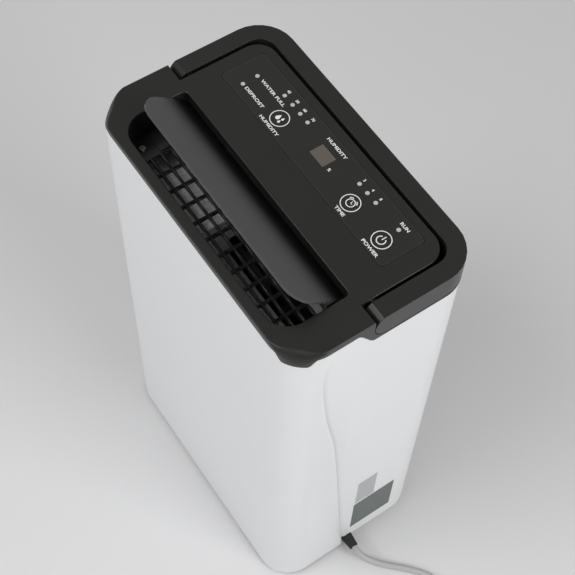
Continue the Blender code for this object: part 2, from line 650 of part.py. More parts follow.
def control_panel():
    """The printed film, the window, the three keys, the light guide and the board with its switches."""
    holes = [arc(x, KEY_Y, KEY_R + GAP, 0, 345, 23) for x in KEY_X.values()]
    holes += [arc(x, y, LAMP_R + GAP, 0, 315, 7) for x, y in LAMPS]
    holes.append(rectangle(WINDOW_X[0] - GAP, WINDOW_X[1] + GAP, WINDOW_Y[0] - GAP, WINDOW_Y[1] + GAP))
    under_film = DECK_Z - PANEL_T
    plate("control_film", rounded(*PANEL_X, *PANEL_Y, PANEL_R, steps=3), under_film, DECK_Z, "panel_film",
          holes=holes)
    window = ((WINDOW_X[0], WINDOW_Y[0], under_film), (WINDOW_X[1], WINDOW_Y[1], DECK_Z))
    boxes("display_window", [window], "smoked_window")

    for name, x in KEY_X.items():
        key = rod(name, (x, KEY_Y, DECK_Z - KEY_CAP_T), (x, KEY_Y, DECK_Z), KEY_R, "panel_film", sides=24)
        join(key, rod(f"{name}_stem", (x, KEY_Y, KEY_STEM_END), (x, KEY_Y, DECK_Z - KEY_CAP_T / 2), KEY_STEM_R,
                      sides=12))
        move_origin(key, Vector((x, KEY_Y, DECK_Z)))

    low, high = GUIDE_Z
    left = LAMPS[0][0] - 0.0024
    arm_right = LAMPS[1][0] + 0.0024
    strip = ((left, LAMPS[2][1] - 0.0018, low), (LAMPS[-1][0] + 0.0023, LAMPS[2][1] + 0.0020, high))
    arm = ((left, LAMPS[1][1] - 0.0024, low), (arm_right, LAMPS[2][1] - 0.0004, high))
    guide = boxes("light_guide", [strip], "lamp_plastic")
    join(guide, boxes("light_guide_arm", [arm]), lamp_posts("light_guide_posts", LAMP_R, low + OVERLAP, DECK_Z))

    board_top = BOARD_Z + BOARD_T
    sunk = board_top - BOARD_T / 3
    board = boxes("control_board", [((PANEL_X[0] + 0.005, PANEL_Y[0] + 0.001, BOARD_Z),
                                     (PANEL_X[1] - 0.006, PANEL_Y[1] - 0.001, board_top))], "circuit_board")
    parts = [((x - 0.003, KEY_Y - 0.003, sunk), (x + 0.003, KEY_Y + 0.003, SWITCH_TOP)) for x in KEY_X.values()]
    parts += [((x - 0.001, y - 0.001, sunk), (x + 0.001, y + 0.001, low - 0.0006)) for x, y in LAMPS]
    parts.append(((WINDOW_X[0] + 0.0015, WINDOW_Y[0] + 0.0015, sunk),
                  (WINDOW_X[1] - 0.0015, WINDOW_Y[1] - 0.0020, DECK_Z - 0.003)))
    join(board, boxes("board_parts", parts))


# ---- handle -------------------------------------------------------------------------------------
def carry_handle():
    """U-shaped bail round the back of the top, hinged on one pin in each arm's round end."""
    inner_x = HALF_W - HANDLE_W
    inner_y = HALF_D - HANDLE_W
    reach = HALF_W + BEYOND
    top_angle = 180 - math.degrees(math.asin((HANDLE_TOP - PIVOT_Z) / NOSE_R))
    side_view = arc(PIVOT_Y, PIVOT_Z, NOSE_R, top_angle, 270, 14)
    side_view += [(HALF_D + BEYOND, HANDLE_BOTTOM), (HALF_D + BEYOND, HANDLE_TOP)]
    handle = plate("carry_handle", side_view, -reach, reach, "black_abs", along="X")
    below = HANDLE_BOTTOM - BEYOND
    above = HANDLE_TOP + BEYOND
    inner = rounded(-inner_x, inner_x, -HALF_D + HANDLE_W, inner_y, HANDLE_INNER_R, steps=6)
    combine(handle, "INTERSECT", [plate("handle_from_above", case_outline(), below, above, holes=[inner])])

    wall = HANDLE_WALL
    hollow_inner = rounded(-inner_x - wall, inner_x + wall, -HALF_D + HANDLE_W, inner_y + wall,
                           HANDLE_INNER_R + wall)
    channel = plate("handle_channel_under", case_outline(wall), below, HANDLE_TOP - wall, holes=[hollow_inner])
    solid_nose = NOSE_R + 0.004
    front_part = ((-reach, -HALF_D - BEYOND, below - BEYOND), (reach, solid_nose, above))
    cut(channel, boxes("channel_front_cut", [front_part]))
    cut(handle, channel)
    for side in (-1, 1):
        bore_from = (side * (inner_x - 0.002), PIVOT_Y, PIVOT_Z)
        bore_to = (side * (PIVOT_PIN_END + GAP), PIVOT_Y, PIVOT_Z)
        cut(handle, rod(f"handle_bore_{side}", bore_from, bore_to, PIN_HOLE_R, sides=20))
    move_origin(handle, Vector((0, PIVOT_Y, PIVOT_Z)))

    head = DECK_HALF_X - WALL - GAP
    for side, word in ((-1, "left"), (1, "right")):
        inside = (side * (head - PIVOT_HEAD_T), PIVOT_Y, PIVOT_Z)
        pin = rod(f"handle_pin_{word}", inside, (side * PIVOT_PIN_END, PIVOT_Y, PIVOT_Z), PIVOT_PIN_R, "steel",
                  sides=20)
        join(pin, rod(f"handle_pin_head_{word}", inside, (side * head, PIVOT_Y, PIVOT_Z), PIVOT_HEAD_R, sides=20))


def move_origin(obj, origin):
    """Puts a part's origin at a point and leaves its shape where it is."""
    for vert in obj.data.vertices:
        vert.co -= origin
    obj.location = origin


# ---- air outlet and flap ------------------------------------------------------------------------
def on_flap_axis(x):
    return (x, FLAP_AXIS_Y, FLAP_AXIS_Z)


def outlet():
    """The duct under the opening, the grille across it and the screw that holds the grille's blank end."""
    def outline(grow):
        return rounded(-DUCT_IN_X - grow, DUCT_IN_X + grow, DUCT_IN_FRONT_Y - grow, DUCT_IN_BACK_Y + grow,
                       OUTLET_FRONT_R + grow, OUTLET_BACK_R + grow)

    duct = plate("outlet_duct", outline(DUCT_WALL), DUCT_BOTTOM_Z, DECK_UNDER - GAP, "black_abs",
                 holes=[outline(0)])
    for side in (-1, 1):
        cut(duct, rod(f"duct_pin_hole_{side}", on_flap_axis(side * (DUCT_IN_X - 0.004)),
                      on_flap_axis(side * (DUCT_IN_X + 0.006)), FLAP_PIN_R + GAP, sides=12))

    windows = []
    for row in range(GRILLE_ROWS):
        y = DUCT_IN_FRONT_Y + 0.0040 + row * BAR_PITCH_Y
        for column in range(GRILLE_COLUMNS):
            x = GRILLE_LEFT_X + column * BAR_PITCH_X
            corner = 0.012 if row == 0 and column == GRILLE_COLUMNS - 1 else 0.0
            windows.append(rectangle(x + BAR_T / 2, x + BAR_PITCH_X - BAR_T / 2 - corner,
                                     y + BAR_T / 2, y + BAR_PITCH_Y - BAR_T / 2))
    plate("outlet_grille", outline(-RUN), GRILLE_Z, GRILLE_TOP, "black_abs", holes=windows)

    screw_top = GRILLE_TOP + 0.0025
    screw = rod("duct_screw", (SCREW_X, SCREW_Y, GRILLE_TOP + GAP), (SCREW_X, SCREW_Y, screw_top), SCREW_HEAD_R,
                "steel", sides=20, end_radius=SCREW_HEAD_R - 0.0009)
    long_side = SCREW_HEAD_R / 2
    for name, half_x, half_y in (("cross_slot_x", long_side, 0.0004), ("cross_slot_y", 0.0004, long_side)):
        cut(screw, boxes(name, [((SCREW_X - half_x, SCREW_Y - half_y, screw_top - 0.0011),
                                 (SCREW_X + half_x, SCREW_Y + half_y, screw_top + OVERLAP))]))


def flap():
    """Crowned plate with a lug at each end, modelled shut and then turned open about its pins."""
    half = OUTLET_HALF_X - FLAP_CLEAR
    front = OUTLET_FRONT_Y + 0.0013
    back = OUTLET_BACK_Y - 0.0020
    edge_z = DECK_Z - 0.0015
    middle_y = (front + back) / 2
    half_chord = (back - front) / 2
    drop = math.sqrt(FLAP_CROWN_R ** 2 - half_chord ** 2)
    spread = math.degrees(math.asin(half_chord / FLAP_CROWN_R)) + 3.0
    centre_z = edge_z - drop
    band = arc(middle_y, centre_z, FLAP_CROWN_R, 90 - spread, 90 + spread, 12)
    band += arc(middle_y, centre_z, FLAP_CROWN_R - FLAP_T, 90 + spread, 90 - spread, 12)
    crowned = plate("outlet_flap", band, -half, half, "grey_flap", along="X")
    outline = rounded(-half - 0.0001, half + 0.0001, front, back, OUTLET_FRONT_R - FLAP_CLEAR, 0.003)
    combine(crowned, "INTERSECT", [plate("flap_outline", outline, edge_z - 0.01, edge_z + 0.01)])
    lug_top = FLAP_AXIS_Z + 0.0106
    lug = [(FLAP_AXIS_Y + 0.010, lug_top), (FLAP_AXIS_Y - 0.010, lug_top)]
    lug += arc(FLAP_AXIS_Y, FLAP_AXIS_Z, LUG_R, 200, 340, 8)
    for side in (-1, 1):
        ends = sorted((side * (half - 0.0002 - LUG_T), side * (half - 0.0002)))
        join(crowned, plate(f"flap_lug_{side}", lug, *ends, along="X"))
        cut(crowned, rod(f"flap_lug_hole_{side}", on_flap_axis(side * (half - 0.005)),
                         on_flap_axis(side * (half + 0.005)), FLAP_PIN_R + GAP, sides=12))


def flap_assembly():
    """Turns the flap open about an empty on its pins and adds the pin, the shaft and the motor beside it."""
    opened = bpy.data.objects.new("flap_axis", None)
    bpy.context.scene.collection.objects.link(opened)
    opened.location = on_flap_axis(0)
    opened.rotation_euler = (-FLAP_OPEN, 0, 0)
    before = set(bpy.data.objects)
    flap()
    bpy.context.view_layer.update()
    for obj in set(bpy.data.objects) - before:
        place = obj.matrix_world.copy()
        obj.parent = opened
        obj.matrix_parent_inverse = Matrix.Identity(4)
        obj.matrix_basis = Matrix.Translation(-opened.location) @ place

    in_lug = OUTLET_HALF_X - FLAP_CLEAR - 0.0022
    wall = DUCT_IN_X + DUCT_WALL
    pin_end = on_flap_axis(-wall - 0.003)
    pin = rod("flap_pin_left", on_flap_axis(-in_lug), pin_end, FLAP_PIN_R, "steel", sides=12)
    join(pin, rod("flap_pin_left_head", on_flap_axis(-wall - GAP), pin_end, SCREW_HEAD_R, sides=16))
    rod("flap_drive_shaft", on_flap_axis(in_lug), on_flap_axis(wall + 0.006), FLAP_PIN_R, "steel", sides=12)
    motor = rod("flap_motor", on_flap_axis(wall + GAP), on_flap_axis(wall + 0.019), 0.0085, "black_steel",
                sides=24)
    cut(motor, rod("flap_motor_bore", on_flap_axis(wall - 0.002), on_flap_axis(wall + 0.0065), FLAP_PIN_R + GAP,
                   sides=12))


# ---- air path -----------------------------------------------------------------------------------
def on_fan_axis(y):
    return (0, y, FAN_Z)


def fan():
    """Foam scroll, squirrel-cage wheel on its shaft, and the motor let into the front of the foam."""
    front, back = SCROLL_Y
    wheel_room_y = FAN_FRONT_Y - 0.003
    whole = ((-SCROLL_HALF_X, front, SCROLL_Z[0]), (SCROLL_HALF_X, back, SCROLL_Z[1]))
    scroll = boxes("air_scroll", [whole], "foam")
    throat = ((THROAT_X[0], wheel_room_y, FAN_Z), (THROAT_X[1], back - 0.006, THROAT_Z[1]))
    throat_top = ((THROAT_X[0] - RUN, front + 0.006, THROAT_Z[0]),
                  (THROAT_X[1] + RUN, OUTLET_BACK_Y - 0.0005, SCROLL_Z[1] + BEYOND))
    cut(
        scroll,
        rod("wheel_room", on_fan_axis(wheel_room_y), on_fan_axis(back + BEYOND), FAN_R + 0.008, sides=40),
        rod("motor_room", on_fan_axis(front - BEYOND), on_fan_axis(FAN_FRONT_Y - 0.006), MOTOR_R + 0.002,
            sides=32),
        rod("shaft_room", on_fan_axis(front + BEYOND), on_fan_axis(0), 0.0110, sides=16),
        boxes("throat", [throat]),
        boxes("throat_top", [throat_top]),
    )

    wheel = rod("fan_wheel", on_fan_axis(FAN_FRONT_Y), on_fan_axis(FAN_BACK_Y), FAN_R, "black_abs", sides=32)
    slots = bmesh.new()
    for number in range(FAN_BLADES):
        angle = 2 * math.pi * (number + 0.5) / FAN_BLADES
        place = (Matrix.Translation(on_fan_axis((FAN_FRONT_Y + FAN_BACK_Y) / 2)) @ Matrix.Rotation(angle, 4, "Y")
                 @ Matrix.Translation((FAN_R - 0.006, 0, 0))
                 @ Matrix.Diagonal((0.024, FAN_BACK_Y - FAN_FRONT_Y - 0.007, 0.0210, 1)))
        bmesh.ops.create_cube(slots, size=1.0, matrix=place)
    cut(wheel,
        rod("wheel_eye", on_fan_axis(FAN_FRONT_Y + WALL), on_fan_axis(FAN_BACK_Y + BEYOND), FAN_R - 0.012,
            sides=32),
        from_bmesh("wheel_slots", slots))
    hub_end = FAN_FRONT_Y + 0.012
    join(wheel, rod("wheel_hub", on_fan_axis(FAN_FRONT_Y + OVERLAP), on_fan_axis(hub_end), HUB_R, sides=20))
    cut(wheel, rod("wheel_bore", on_fan_axis(FAN_FRONT_Y - BEYOND), on_fan_axis(hub_end + BEYOND), SHAFT_R + GAP,
                   sides=16))
    move_origin(wheel, Vector(on_fan_axis(0)))

    rod("fan_shaft", on_fan_axis(SHAFT_FRONT_Y), on_fan_axis(hub_end), SHAFT_R, "steel", sides=16)
    motor = rod("fan_motor", on_fan_axis(front + 0.0010), on_fan_axis(MOTOR_FACE_Y), MOTOR_R, "black_steel",
                sides=32)
    join(motor, rod("motor_boss", on_fan_axis(MOTOR_FACE_Y - 0.005), on_fan_axis(MOTOR_FACE_Y + 0.004), 0.0100,
                    sides=20))
    cut(motor, rod("motor_bore", on_fan_axis(SHAFT_FRONT_Y - 0.0005), on_fan_axis(0), SHAFT_R + GAP, sides=16))


def fin_block(name, y_face, y_tips):
    """Fins standing across the air path on one thin backing, as one comb."""
    pitch = 2 * COIL_HALF_X / FINS
    backing = y_face + (0.0012 if y_tips > y_face else -0.0012)
    points = [(-COIL_HALF_X, y_face)]
    for number in range(FINS):
        x = -COIL_HALF_X + pitch * number
        points += [(x, y_tips), (x + pitch * 0.3, y_tips), (x + pitch * 0.3, backing), (x + pitch, backing)]
    points[-1] = (COIL_HALF_X, backing)
    points.append((COIL_HALF_X, y_face))
    plate(name, points, *COIL_Z, "aluminium")


def serpentine(name, y):
    """Copper tube that runs back and forth across the coil; both ends come out of the frame."""
    half_run = COIL_HALF_X - 0.014
    bend = TUBE_PITCH / 2
    points = [(-SERPENTINE_END, y, TUBE_Z0)]
    for row in range(TUBE_ROWS):
        z = TUBE_Z0 + TUBE_PITCH * row
        side = 1 if row % 2 == 0 else -1
        if row == TUBE_ROWS - 1:
            points.append((SERPENTINE_END, y, z))
        else:
            points += [(side * (half_run + bend * math.sin(a)), y, z + bend - bend * math.cos(a))
                       for a in np.radians((0, 45, 90, 135, 180))]
    return tube(name, points, TUBE_R, "copper", resolution=1)


def coils():
    """Warm coil next to the fan, cold coil behind it, in one bent steel frame over a drip tray."""
    fin_block("condenser_fins", COIL_FACES_Y[0], CONDENSER_Y - TUBE_R - RUN)
    serpentine("condenser_tube", CONDENSER_Y)
    serpentine("evaporator_tube", EVAPORATOR_Y)
    fin_block("evaporator_fins", COIL_FACES_Y[1], EVAPORATOR_Y + TUBE_R + RUN)

    half = COIL_HALF_X + 0.0045
    low = DRIP_TRAY_Z[1] + GAP
    high = COIL_Z[1] + 0.008
    sheet = 0.0015
    section = [(-half - sheet, high), (-half - sheet, low), (half + sheet, low), (half + sheet, high),
               (half, high), (half, low + sheet), (-half, low + sheet), (-half, high)]
    frame = plate("coil_frame", section, COIL_FACES_Y[0] - 0.0007, COIL_FACES_Y[1] + 0.0015, "steel", along="Y")
    holes = []
    for number, (side, z) in enumerate(((-1, TUBE_Z0), (1, TUBE_Z_TOP))):
        for y in (CONDENSER_Y, EVAPORATOR_Y):
            holes.append(rod(f"frame_hole_{number}_{y}", (side * (half - 0.01), y, z), (side * (half + 0.01), y, z),
                             TUBE_R + RUN, sides=16))
    slots = [((x - 0.006, COIL_FACES_Y[0] + 0.0048, low - 0.01), (x + 0.006, COIL_FACES_Y[1] - 0.004, low + 0.01))
             for x in (-0.074, -0.040, 0.040, 0.074)]
    cut(frame, *holes, boxes("frame_drain_slots", slots))

    floor, rim = DRIP_TRAY_Z
    front, back = DRIP_TRAY_Y
    left = -COIL_HALF_X - 0.012
    right = COIL_HALF_X + 0.008
    thin = 0.0015
    tray = boxes("drip_tray", [((left, front, floor), (right, back, rim))], "white_abs")
    cut(tray, boxes("tray_hollow", [((left + thin, front + thin, floor + thin),
                                     (right - thin, back - thin, rim + BEYOND))]))
    drain = (DRAIN_X, DRAIN_Y)
    join(tray, rod("tray_spout", (*drain, SPOUT_END_Z), (*drain, floor + OVERLAP), SPOUT_R, sides=20))
    cut(tray, rod("spout_bore", (*drain, SPOUT_END_Z - 0.01), (*drain, floor + 0.01), SPOUT_BORE_R, sides=20))
    rests = [((x - 0.002, COIL_FACES_Y[0] - 0.0002, floor + OVERLAP),
              (x + 0.002, COIL_FACES_Y[1] + 0.001, low - GAP)) for x in (-COIL_HALF_X, COIL_HALF_X)]
    join(tray, boxes("frame_rests", rests))


def intake():
    """Rear grille that pulls straight off with the filter held on its inner side."""
    y_out = HALF_D - REAR_INSET
    y_in = y_out - INTAKE_T
    low, high = INTAKE_Z
    slots = []
    rows = 15
    pitch = (high - low - 0.016) / rows
    column_pitch = (2 * INTAKE_HALF_X - 0.0165) / 3
    for column in range(3):
        x = -INTAKE_HALF_X + 0.009 + column * column_pitch
        for number in range(rows):
            z = low + 0.008 + number * pitch
            end = x + column_pitch - 0.0065
            slots.append(((x, y_in - 0.005, z + 0.002), (end, y_out + 0.005, z + pitch - 0.002)))
    grille = boxes("intake_grille", [((-INTAKE_HALF_X, y_in, low), (INTAKE_HALF_X, y_out, high))], "white_abs")
    cut(grille, boxes("intake_slots", slots))
    clip_x = INTAKE_HALF_X - 0.004
    clips = [((side * clip_x - 0.001, FILTER_Y[0], z - 0.006), (side * clip_x + 0.001, y_in + OVERLAP, z + 0.006))
             for side in (-1, 1) for z in (low + 0.037, high - 0.037)]
    join(grille, boxes("intake_clips", clips))

    half = clip_x - 0.001 - RUN
    filter_low = low + 0.006
    filter_high = high - 0.006
    columns = 5
    cell_rows = 4
    bar = 0.004
    cell_x = (2 * half - bar) / columns
    cell_z = (filter_high - filter_low - bar) / cell_rows
    cells = [rectangle(-half + bar + i * cell_x, -half + (i + 1) * cell_x,
                       filter_low + bar + j * cell_z, filter_low + (j + 1) * cell_z)
             for i in range(columns) for j in range(cell_rows)]
    plate("air_filter", rectangle(-half, half, filter_low, filter_high), *FILTER_Y, "filter_mesh", along="Y",
          holes=cells)


# ---- water side ---------------------------------------------------------------------------------
def water_tank():
    """Tank with a pull pocket in its rear face, its lid, the float on its post and the switch outside."""
    x0, x1 = TANK_X
    z0, z1 = TANK_Z
    y0 = TANK_Y_FRONT
    y1 = HALF_D - REAR_INSET
    wall = TANK_WALL
    tank = plate("water_tank", rounded(x0, x1, y0, y1, 0.010, 0.001, steps=3), z0, z1, "tank_plastic")
    face = ((x0 + 0.0005, y1 - wall, z1 - 0.010), (x1 - 0.0005, y1 - 0.0001, TANK_FACE_TOP))
    join(tank, boxes("tank_face", [face]))
    inside = rounded(x0 + wall, x1 - wall, y0 + wall, y1 - wall, 0.008, 0.001, steps=3)
    cut(tank, plate("tank_hollow", inside, z0 + wall, z1 + 0.01))
    middle = (x0 + x1) / 2
    housing = ((middle - 0.034, y1 - 0.018, z1 - 0.040), (middle + 0.034, y1 - 0.001, z1 - 0.010))
    pocket = ((middle - 0.032, y1 - 0.016, z1 - 0.038), (middle + 0.032, y1 + 0.01, z1 - 0.012))
    post = rod("float_guide", (FLOAT_X, FLOAT_Y, z0 + OVERLAP), (FLOAT_X, FLOAT_Y, z0 + 0.050), FLOAT_POST_R,
               sides=12)
    join(tank, boxes("pull_housing", [housing]), post)
    cut(tank, boxes("pull_pocket", [pocket]))

    lid_outline = rounded(x0 + 0.001, x1 - 0.001, y0 + 0.001, y1 - wall - RUN, 0.009, 0.001, steps=3)
    plate("tank_lid", lid_outline, z1 + GAP, z1 + 0.0025, "tank_plastic",
          holes=[arc(DRAIN_X, DRAIN_Y, SPOUT_R + 0.005, 0, 345, 15)])

    low = z0 + wall + RUN
    float_ring = rod("tank_float", (FLOAT_X, FLOAT_Y, low), (FLOAT_X, FLOAT_Y, low + FLOAT_H), FLOAT_R, "foam",
                     sides=24)
    cut(float_ring, rod("float_bore", (FLOAT_X, FLOAT_Y, low - 0.01), (FLOAT_X, FLOAT_Y, low + 0.03),
                        FLOAT_POST_R + 0.0006, sides=12))
    switch = ((x0 - 0.015, FLOAT_Y - 0.008, PAN_FLOOR + GAP), (x0 - 0.0018, FLOAT_Y + 0.004, z0 + 0.045))
    boxes("level_switch", [switch], "black_abs")


# ---- refrigerating machine ----------------------------------------------------------------------
def machine():
    """Compressor on its three rubber mounts, and the pipes that join it to the two coils."""
    x0 = COMPRESSOR_X
    y0 = COMPRESSOR_Y
    top = COMPRESSOR_TOP
    radius = COMPRESSOR_R
    base_z = COMPRESSOR_Z + 0.002
    profile = [(0.0, top), (radius - 0.022, top - 0.002), (radius - 0.009, top - 0.007),
               (radius - 0.002, top - 0.016), (radius, top - 0.030), (radius, base_z + 0.022),
               (radius - 0.002, base_z + 0.012), (radius - 0.009, base_z + 0.004), (0.0, base_z)]
    body = turned("compressor", profile, Matrix.Translation((x0, y0, 0)), "black_steel", steps=28)
    feet = []
    outline = []
    for direction in (90, 210, 330):
        angle = math.radians(direction)
        x = x0 + MOUNT_CIRCLE_R * math.cos(angle)
        y = y0 + MOUNT_CIRCLE_R * math.sin(angle)
        feet.append((x, y))
        outline += arc(x, y, FOOT_TAB_R, direction - 60, direction + 60, 4)
    foot_plate = plate("compressor_foot_plate", outline, COMPRESSOR_Z, COMPRESSOR_Z + 0.0026)
    middle_z = (COMPRESSOR_Z + top) / 2
    terminal = boxes("terminal_cover", [((x0 - 0.016, y0 + radius - 0.008, middle_z + 0.012),
                                         (x0 + 0.016, y0 + radius + 0.016, middle_z + 0.052))])
    join(body, foot_plate, terminal)
    for number, (x, y) in enumerate(feet, 1):
        rod(f"compressor_mount_{number}", (x, y, PAN_FLOOR + GAP), (x, y, COMPRESSOR_Z - GAP), MOUNT_R, "rubber",
            sides=16)
    pipes()


def pipes():
    """Routes by hand; heights count from the shelf or the coils, places across from the case's side."""
    c_y = CONDENSER_Y
    e_y = EVAPORATOR_Y
    high = TUBE_Z_TOP
    out = SERPENTINE_END + GAP
    turn_x = out + 0.0062
    discharge = smooth([
        (COMPRESSOR_X, COMPRESSOR_Y, COMPRESSOR_TOP + GAP), (COMPRESSOR_X, COMPRESSOR_Y, COMPRESSOR_TOP + 0.014),
        (COMPRESSOR_X + 0.007, 0.0, SHELF_Z - 0.028), (DISCHARGE_X - 0.014, c_y - 0.0145, SHELF_Z - 0.018),
        (DISCHARGE_X, c_y, SHELF_Z + 0.004), (DISCHARGE_X, c_y, SHELF_Z + 0.034),
        (DISCHARGE_X, c_y, SHELF_Z + 0.104), (DISCHARGE_X, c_y, high - 0.022),
        (DISCHARGE_X - 0.0035, c_y, high - 0.005), (turn_x, c_y, high), (out, c_y, high)], 2)
    tube("discharge_pipe", discharge, TUBE_R, "copper", resolution=1)

    can = (HALF_W - 0.046, -HALF_D + 0.0187)
    suction = smooth([
        (out, e_y, high), (turn_x, e_y, high), (SUCTION_X - 0.008, e_y, high - 0.003),
        (SUCTION_X - 0.0015, e_y, high - 0.010), (SUCTION_X, e_y, high - 0.027),
        (SUCTION_X, e_y, SHELF_Z + 0.104), (SUCTION_X, e_y, SHELF_Z + 0.034), (SUCTION_X, e_y, SHELF_Z + 0.004),
        (SUCTION_X - 0.002, e_y - 0.020, SHELF_Z - 0.021),
        (can[0] + 0.021, can[1] + 0.052, SHELF_Z - 0.036), (can[0] + 0.009, can[1] + 0.017, SHELF_Z - 0.044),
        (can[0] + 0.0015, can[1] + 0.002, SHELF_Z - 0.056), (*can, SHELF_Z - 0.081)], 2)
    line = tube("suction_line", suction, TUBE_R, "copper", resolution=1)
    join(line, rod("suction_can", (*can, COMPRESSOR_Z + 0.040), (*can, SHELF_Z - 0.074), 0.0135, sides=20))

    turns = 3
    steps = 12
    loop_r = 0.0080
    rise = 0.0040
    loop_x = -out - 0.0147
    loop_y = (c_y + e_y) / 2
    low = TUBE_Z0
    helix = [(loop_x - loop_r * math.cos(a), loop_y + loop_r * math.sin(a), low - 0.002 + rise * a / (2 * math.pi))
             for a in np.linspace(0, 2 * math.pi * turns, turns * steps + 1)]
    start = [(-out, c_y, low), (-out - 0.0037, c_y, low), (loop_x + 0.002, loop_y - 0.0087, low - 0.0025)]
    after = [(loop_x - 0.006, loop_y + 0.0088, low + 0.0115), (loop_x + 0.005, loop_y + 0.0098, low + 0.008),
             (-out - 0.0047, e_y, low), (-out, e_y, low)]
    tube("capillary_tube", start + helix[3:] + after, 0.0009, "copper", resolution=1)


def electrics():
    """Main board behind the front shell and the motor's run capacitor beside the compressor."""
    left = -HALF_W + 0.045
    face = -HALF_D + 0.0123
    low = 0.060
    sheet = ((left, face - 0.0016, low), (left + 0.117, face, SHELF_Z - 0.036))
    board = boxes("main_board", [sheet], "circuit_board")
    # components: (place across, height above the board's edge, width, height, how far they stand out)
    sizes = ((0.010, 0.015, 0.030, 0.030, 0.0144), (0.050, 0.020, 0.018, 0.018, 0.0124),
             (0.010, 0.070, 0.035, 0.020, 0.0104), (0.065, 0.090, 0.030, 0.030, 0.0084),
             (0.077, 0.010, 0.032, 0.020, 0.0094))
    parts = [((left + x, face - 0.0002, low + z), (left + x + width, face + out, low + z + height))
             for x, z, width, height, out in sizes]
    join(board, boxes("main_board_parts", parts))
    place = (HALF_W - 0.035, HALF_D - 0.0367)
    rod("run_capacitor", (*place, PAN_FLOOR + GAP), (*place, 0.0750), 0.0160, "tank_plastic", sides=24)


def labels():
    """Two stick-on labels low on the right-hand side."""
    face = HALF_W - REAR_INSET
    boxes("rating_label", [((face + 0.0001, 0.0000, 0.0420), (face + 0.0004, 0.0510, 0.1060))], "label_film")
    boxes("care_label", [((face + 0.0001, 0.0010, 0.1100), (face + 0.0004, 0.0240, 0.1630))], "pale_label")


# ---- mains lead ---------------------------------------------------------------------------------

def cord():
    """Strain relief through the pan's wall, the loose stretch of lead, the coiled rest and the plug."""
    out = HALF_W - REAR_INSET - PAN_INSET
    end = CORD_ROUTE[0][0] - GAP
    here = (CORD_EXIT_Y, CORD_EXIT_Z)
    gland = rod("cord_gland", (out + GAP, *here), (end, *here), GLAND_R, "rubber", sides=20, end_radius=0.0048)
    join(gland,
         rod("gland_neck", (out - WALL - 0.0015, *here), (out + 0.002, *here), GLAND_NECK_R, sides=20),
         rod("gland_collar", (out - WALL - 0.0035, *here), (out - WALL - GAP, *here), GLAND_R, sides=20))
    cut(gland, rod("gland_bore", (out - BEYOND, *here), (out + 0.01, *here), CORD_R, sides=12))

    tube("cord_tube", smooth(CORD_ROUTE, 2), CORD_R, "cord_pvc", resolution=2)

    outer = COIL_MID_R + COIL_BUNDLE_W / 2
    inner = COIL_MID_R - COIL_BUNDLE_W / 2
    low = FLOOR_CLEAR
    top = low + COIL_BUNDLE_H
    soft = 0.0025
    profile = [(inner, low + soft), (inner, top - soft), (inner + soft, top), (outer - soft, top),
               (outer, top - soft), (outer, low + soft), (outer - soft, low), (inner + soft, low)]
    turned("cord_coil", profile, Matrix.Translation((COIL_X, COIL_Y, 0)), "cord_pvc", steps=32, ring=True)
    plug()


def plug():
    """Flat two-pin plug at the end of the last turn, its pins pointing back towards the case."""
    tail = COIL_X - 0.0005
    neck = tail - 0.035
    front = neck - 0.036
    half_width = 0.0176
    body = plate("plug_body", rounded(front, neck, PLUG_Y - half_width, PLUG_Y + half_width, 0.0060, steps=4),
                 FLOOR_CLEAR, 2 * PLUG_Z - FLOOR_CLEAR, "cord_pvc")
    join(body, rod("plug_relief", (tail, PLUG_Y, PLUG_Z), (neck - 0.004, PLUG_Y, PLUG_Z), 0.0042, sides=16,
                   end_radius=0.0064))
    pin_r = 0.0020
    for number, side in ((1, -1), (2, 1)):
        y = PLUG_Y + side * 0.0093
        cut(body, rod(f"pin_socket_{number}", (front - 0.01, y, PLUG_Z), (front + 0.010, y, PLUG_Z), pin_r + GAP,
                      sides=16))
        rod(f"plug_pin_{number}", (front + 0.010 - GAP, y, PLUG_Z), (front - 0.019, y, PLUG_Z), pin_r, "steel",
            sides=16)


def shade():
    """Smooth shading on everything, with edges kept sharp."""
    for obj in PARTS.objects:
        if obj.type == "MESH":
            obj.data.shade_smooth()
            obj.data.set_sharp_from_angle(angle=math.radians(32))


def main():
    start_scene()
    case()
    base()
    shelf()
    top_cover()
    control_panel()
    carry_handle()
    outlet()
    flap_assembly()
    fan()
    coils()
    intake()
    water_tank()
    machine()
    electrics()
    labels()
    cord()
    shade()


main()
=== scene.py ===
"""Looks of the dehumidifier: white case, black top with flap, keys and folding handle, cord on the floor.

Metres, +Z up, in the CAD model's frame. Surfaces are worked out with numpy on grids, and each function
says its formula. Mouldings whose CAD shape is right are copied, cleaned and given rounded edges.
"""

import math

import bmesh
import bpy
import numpy as np
from mathutils import Matrix, Vector


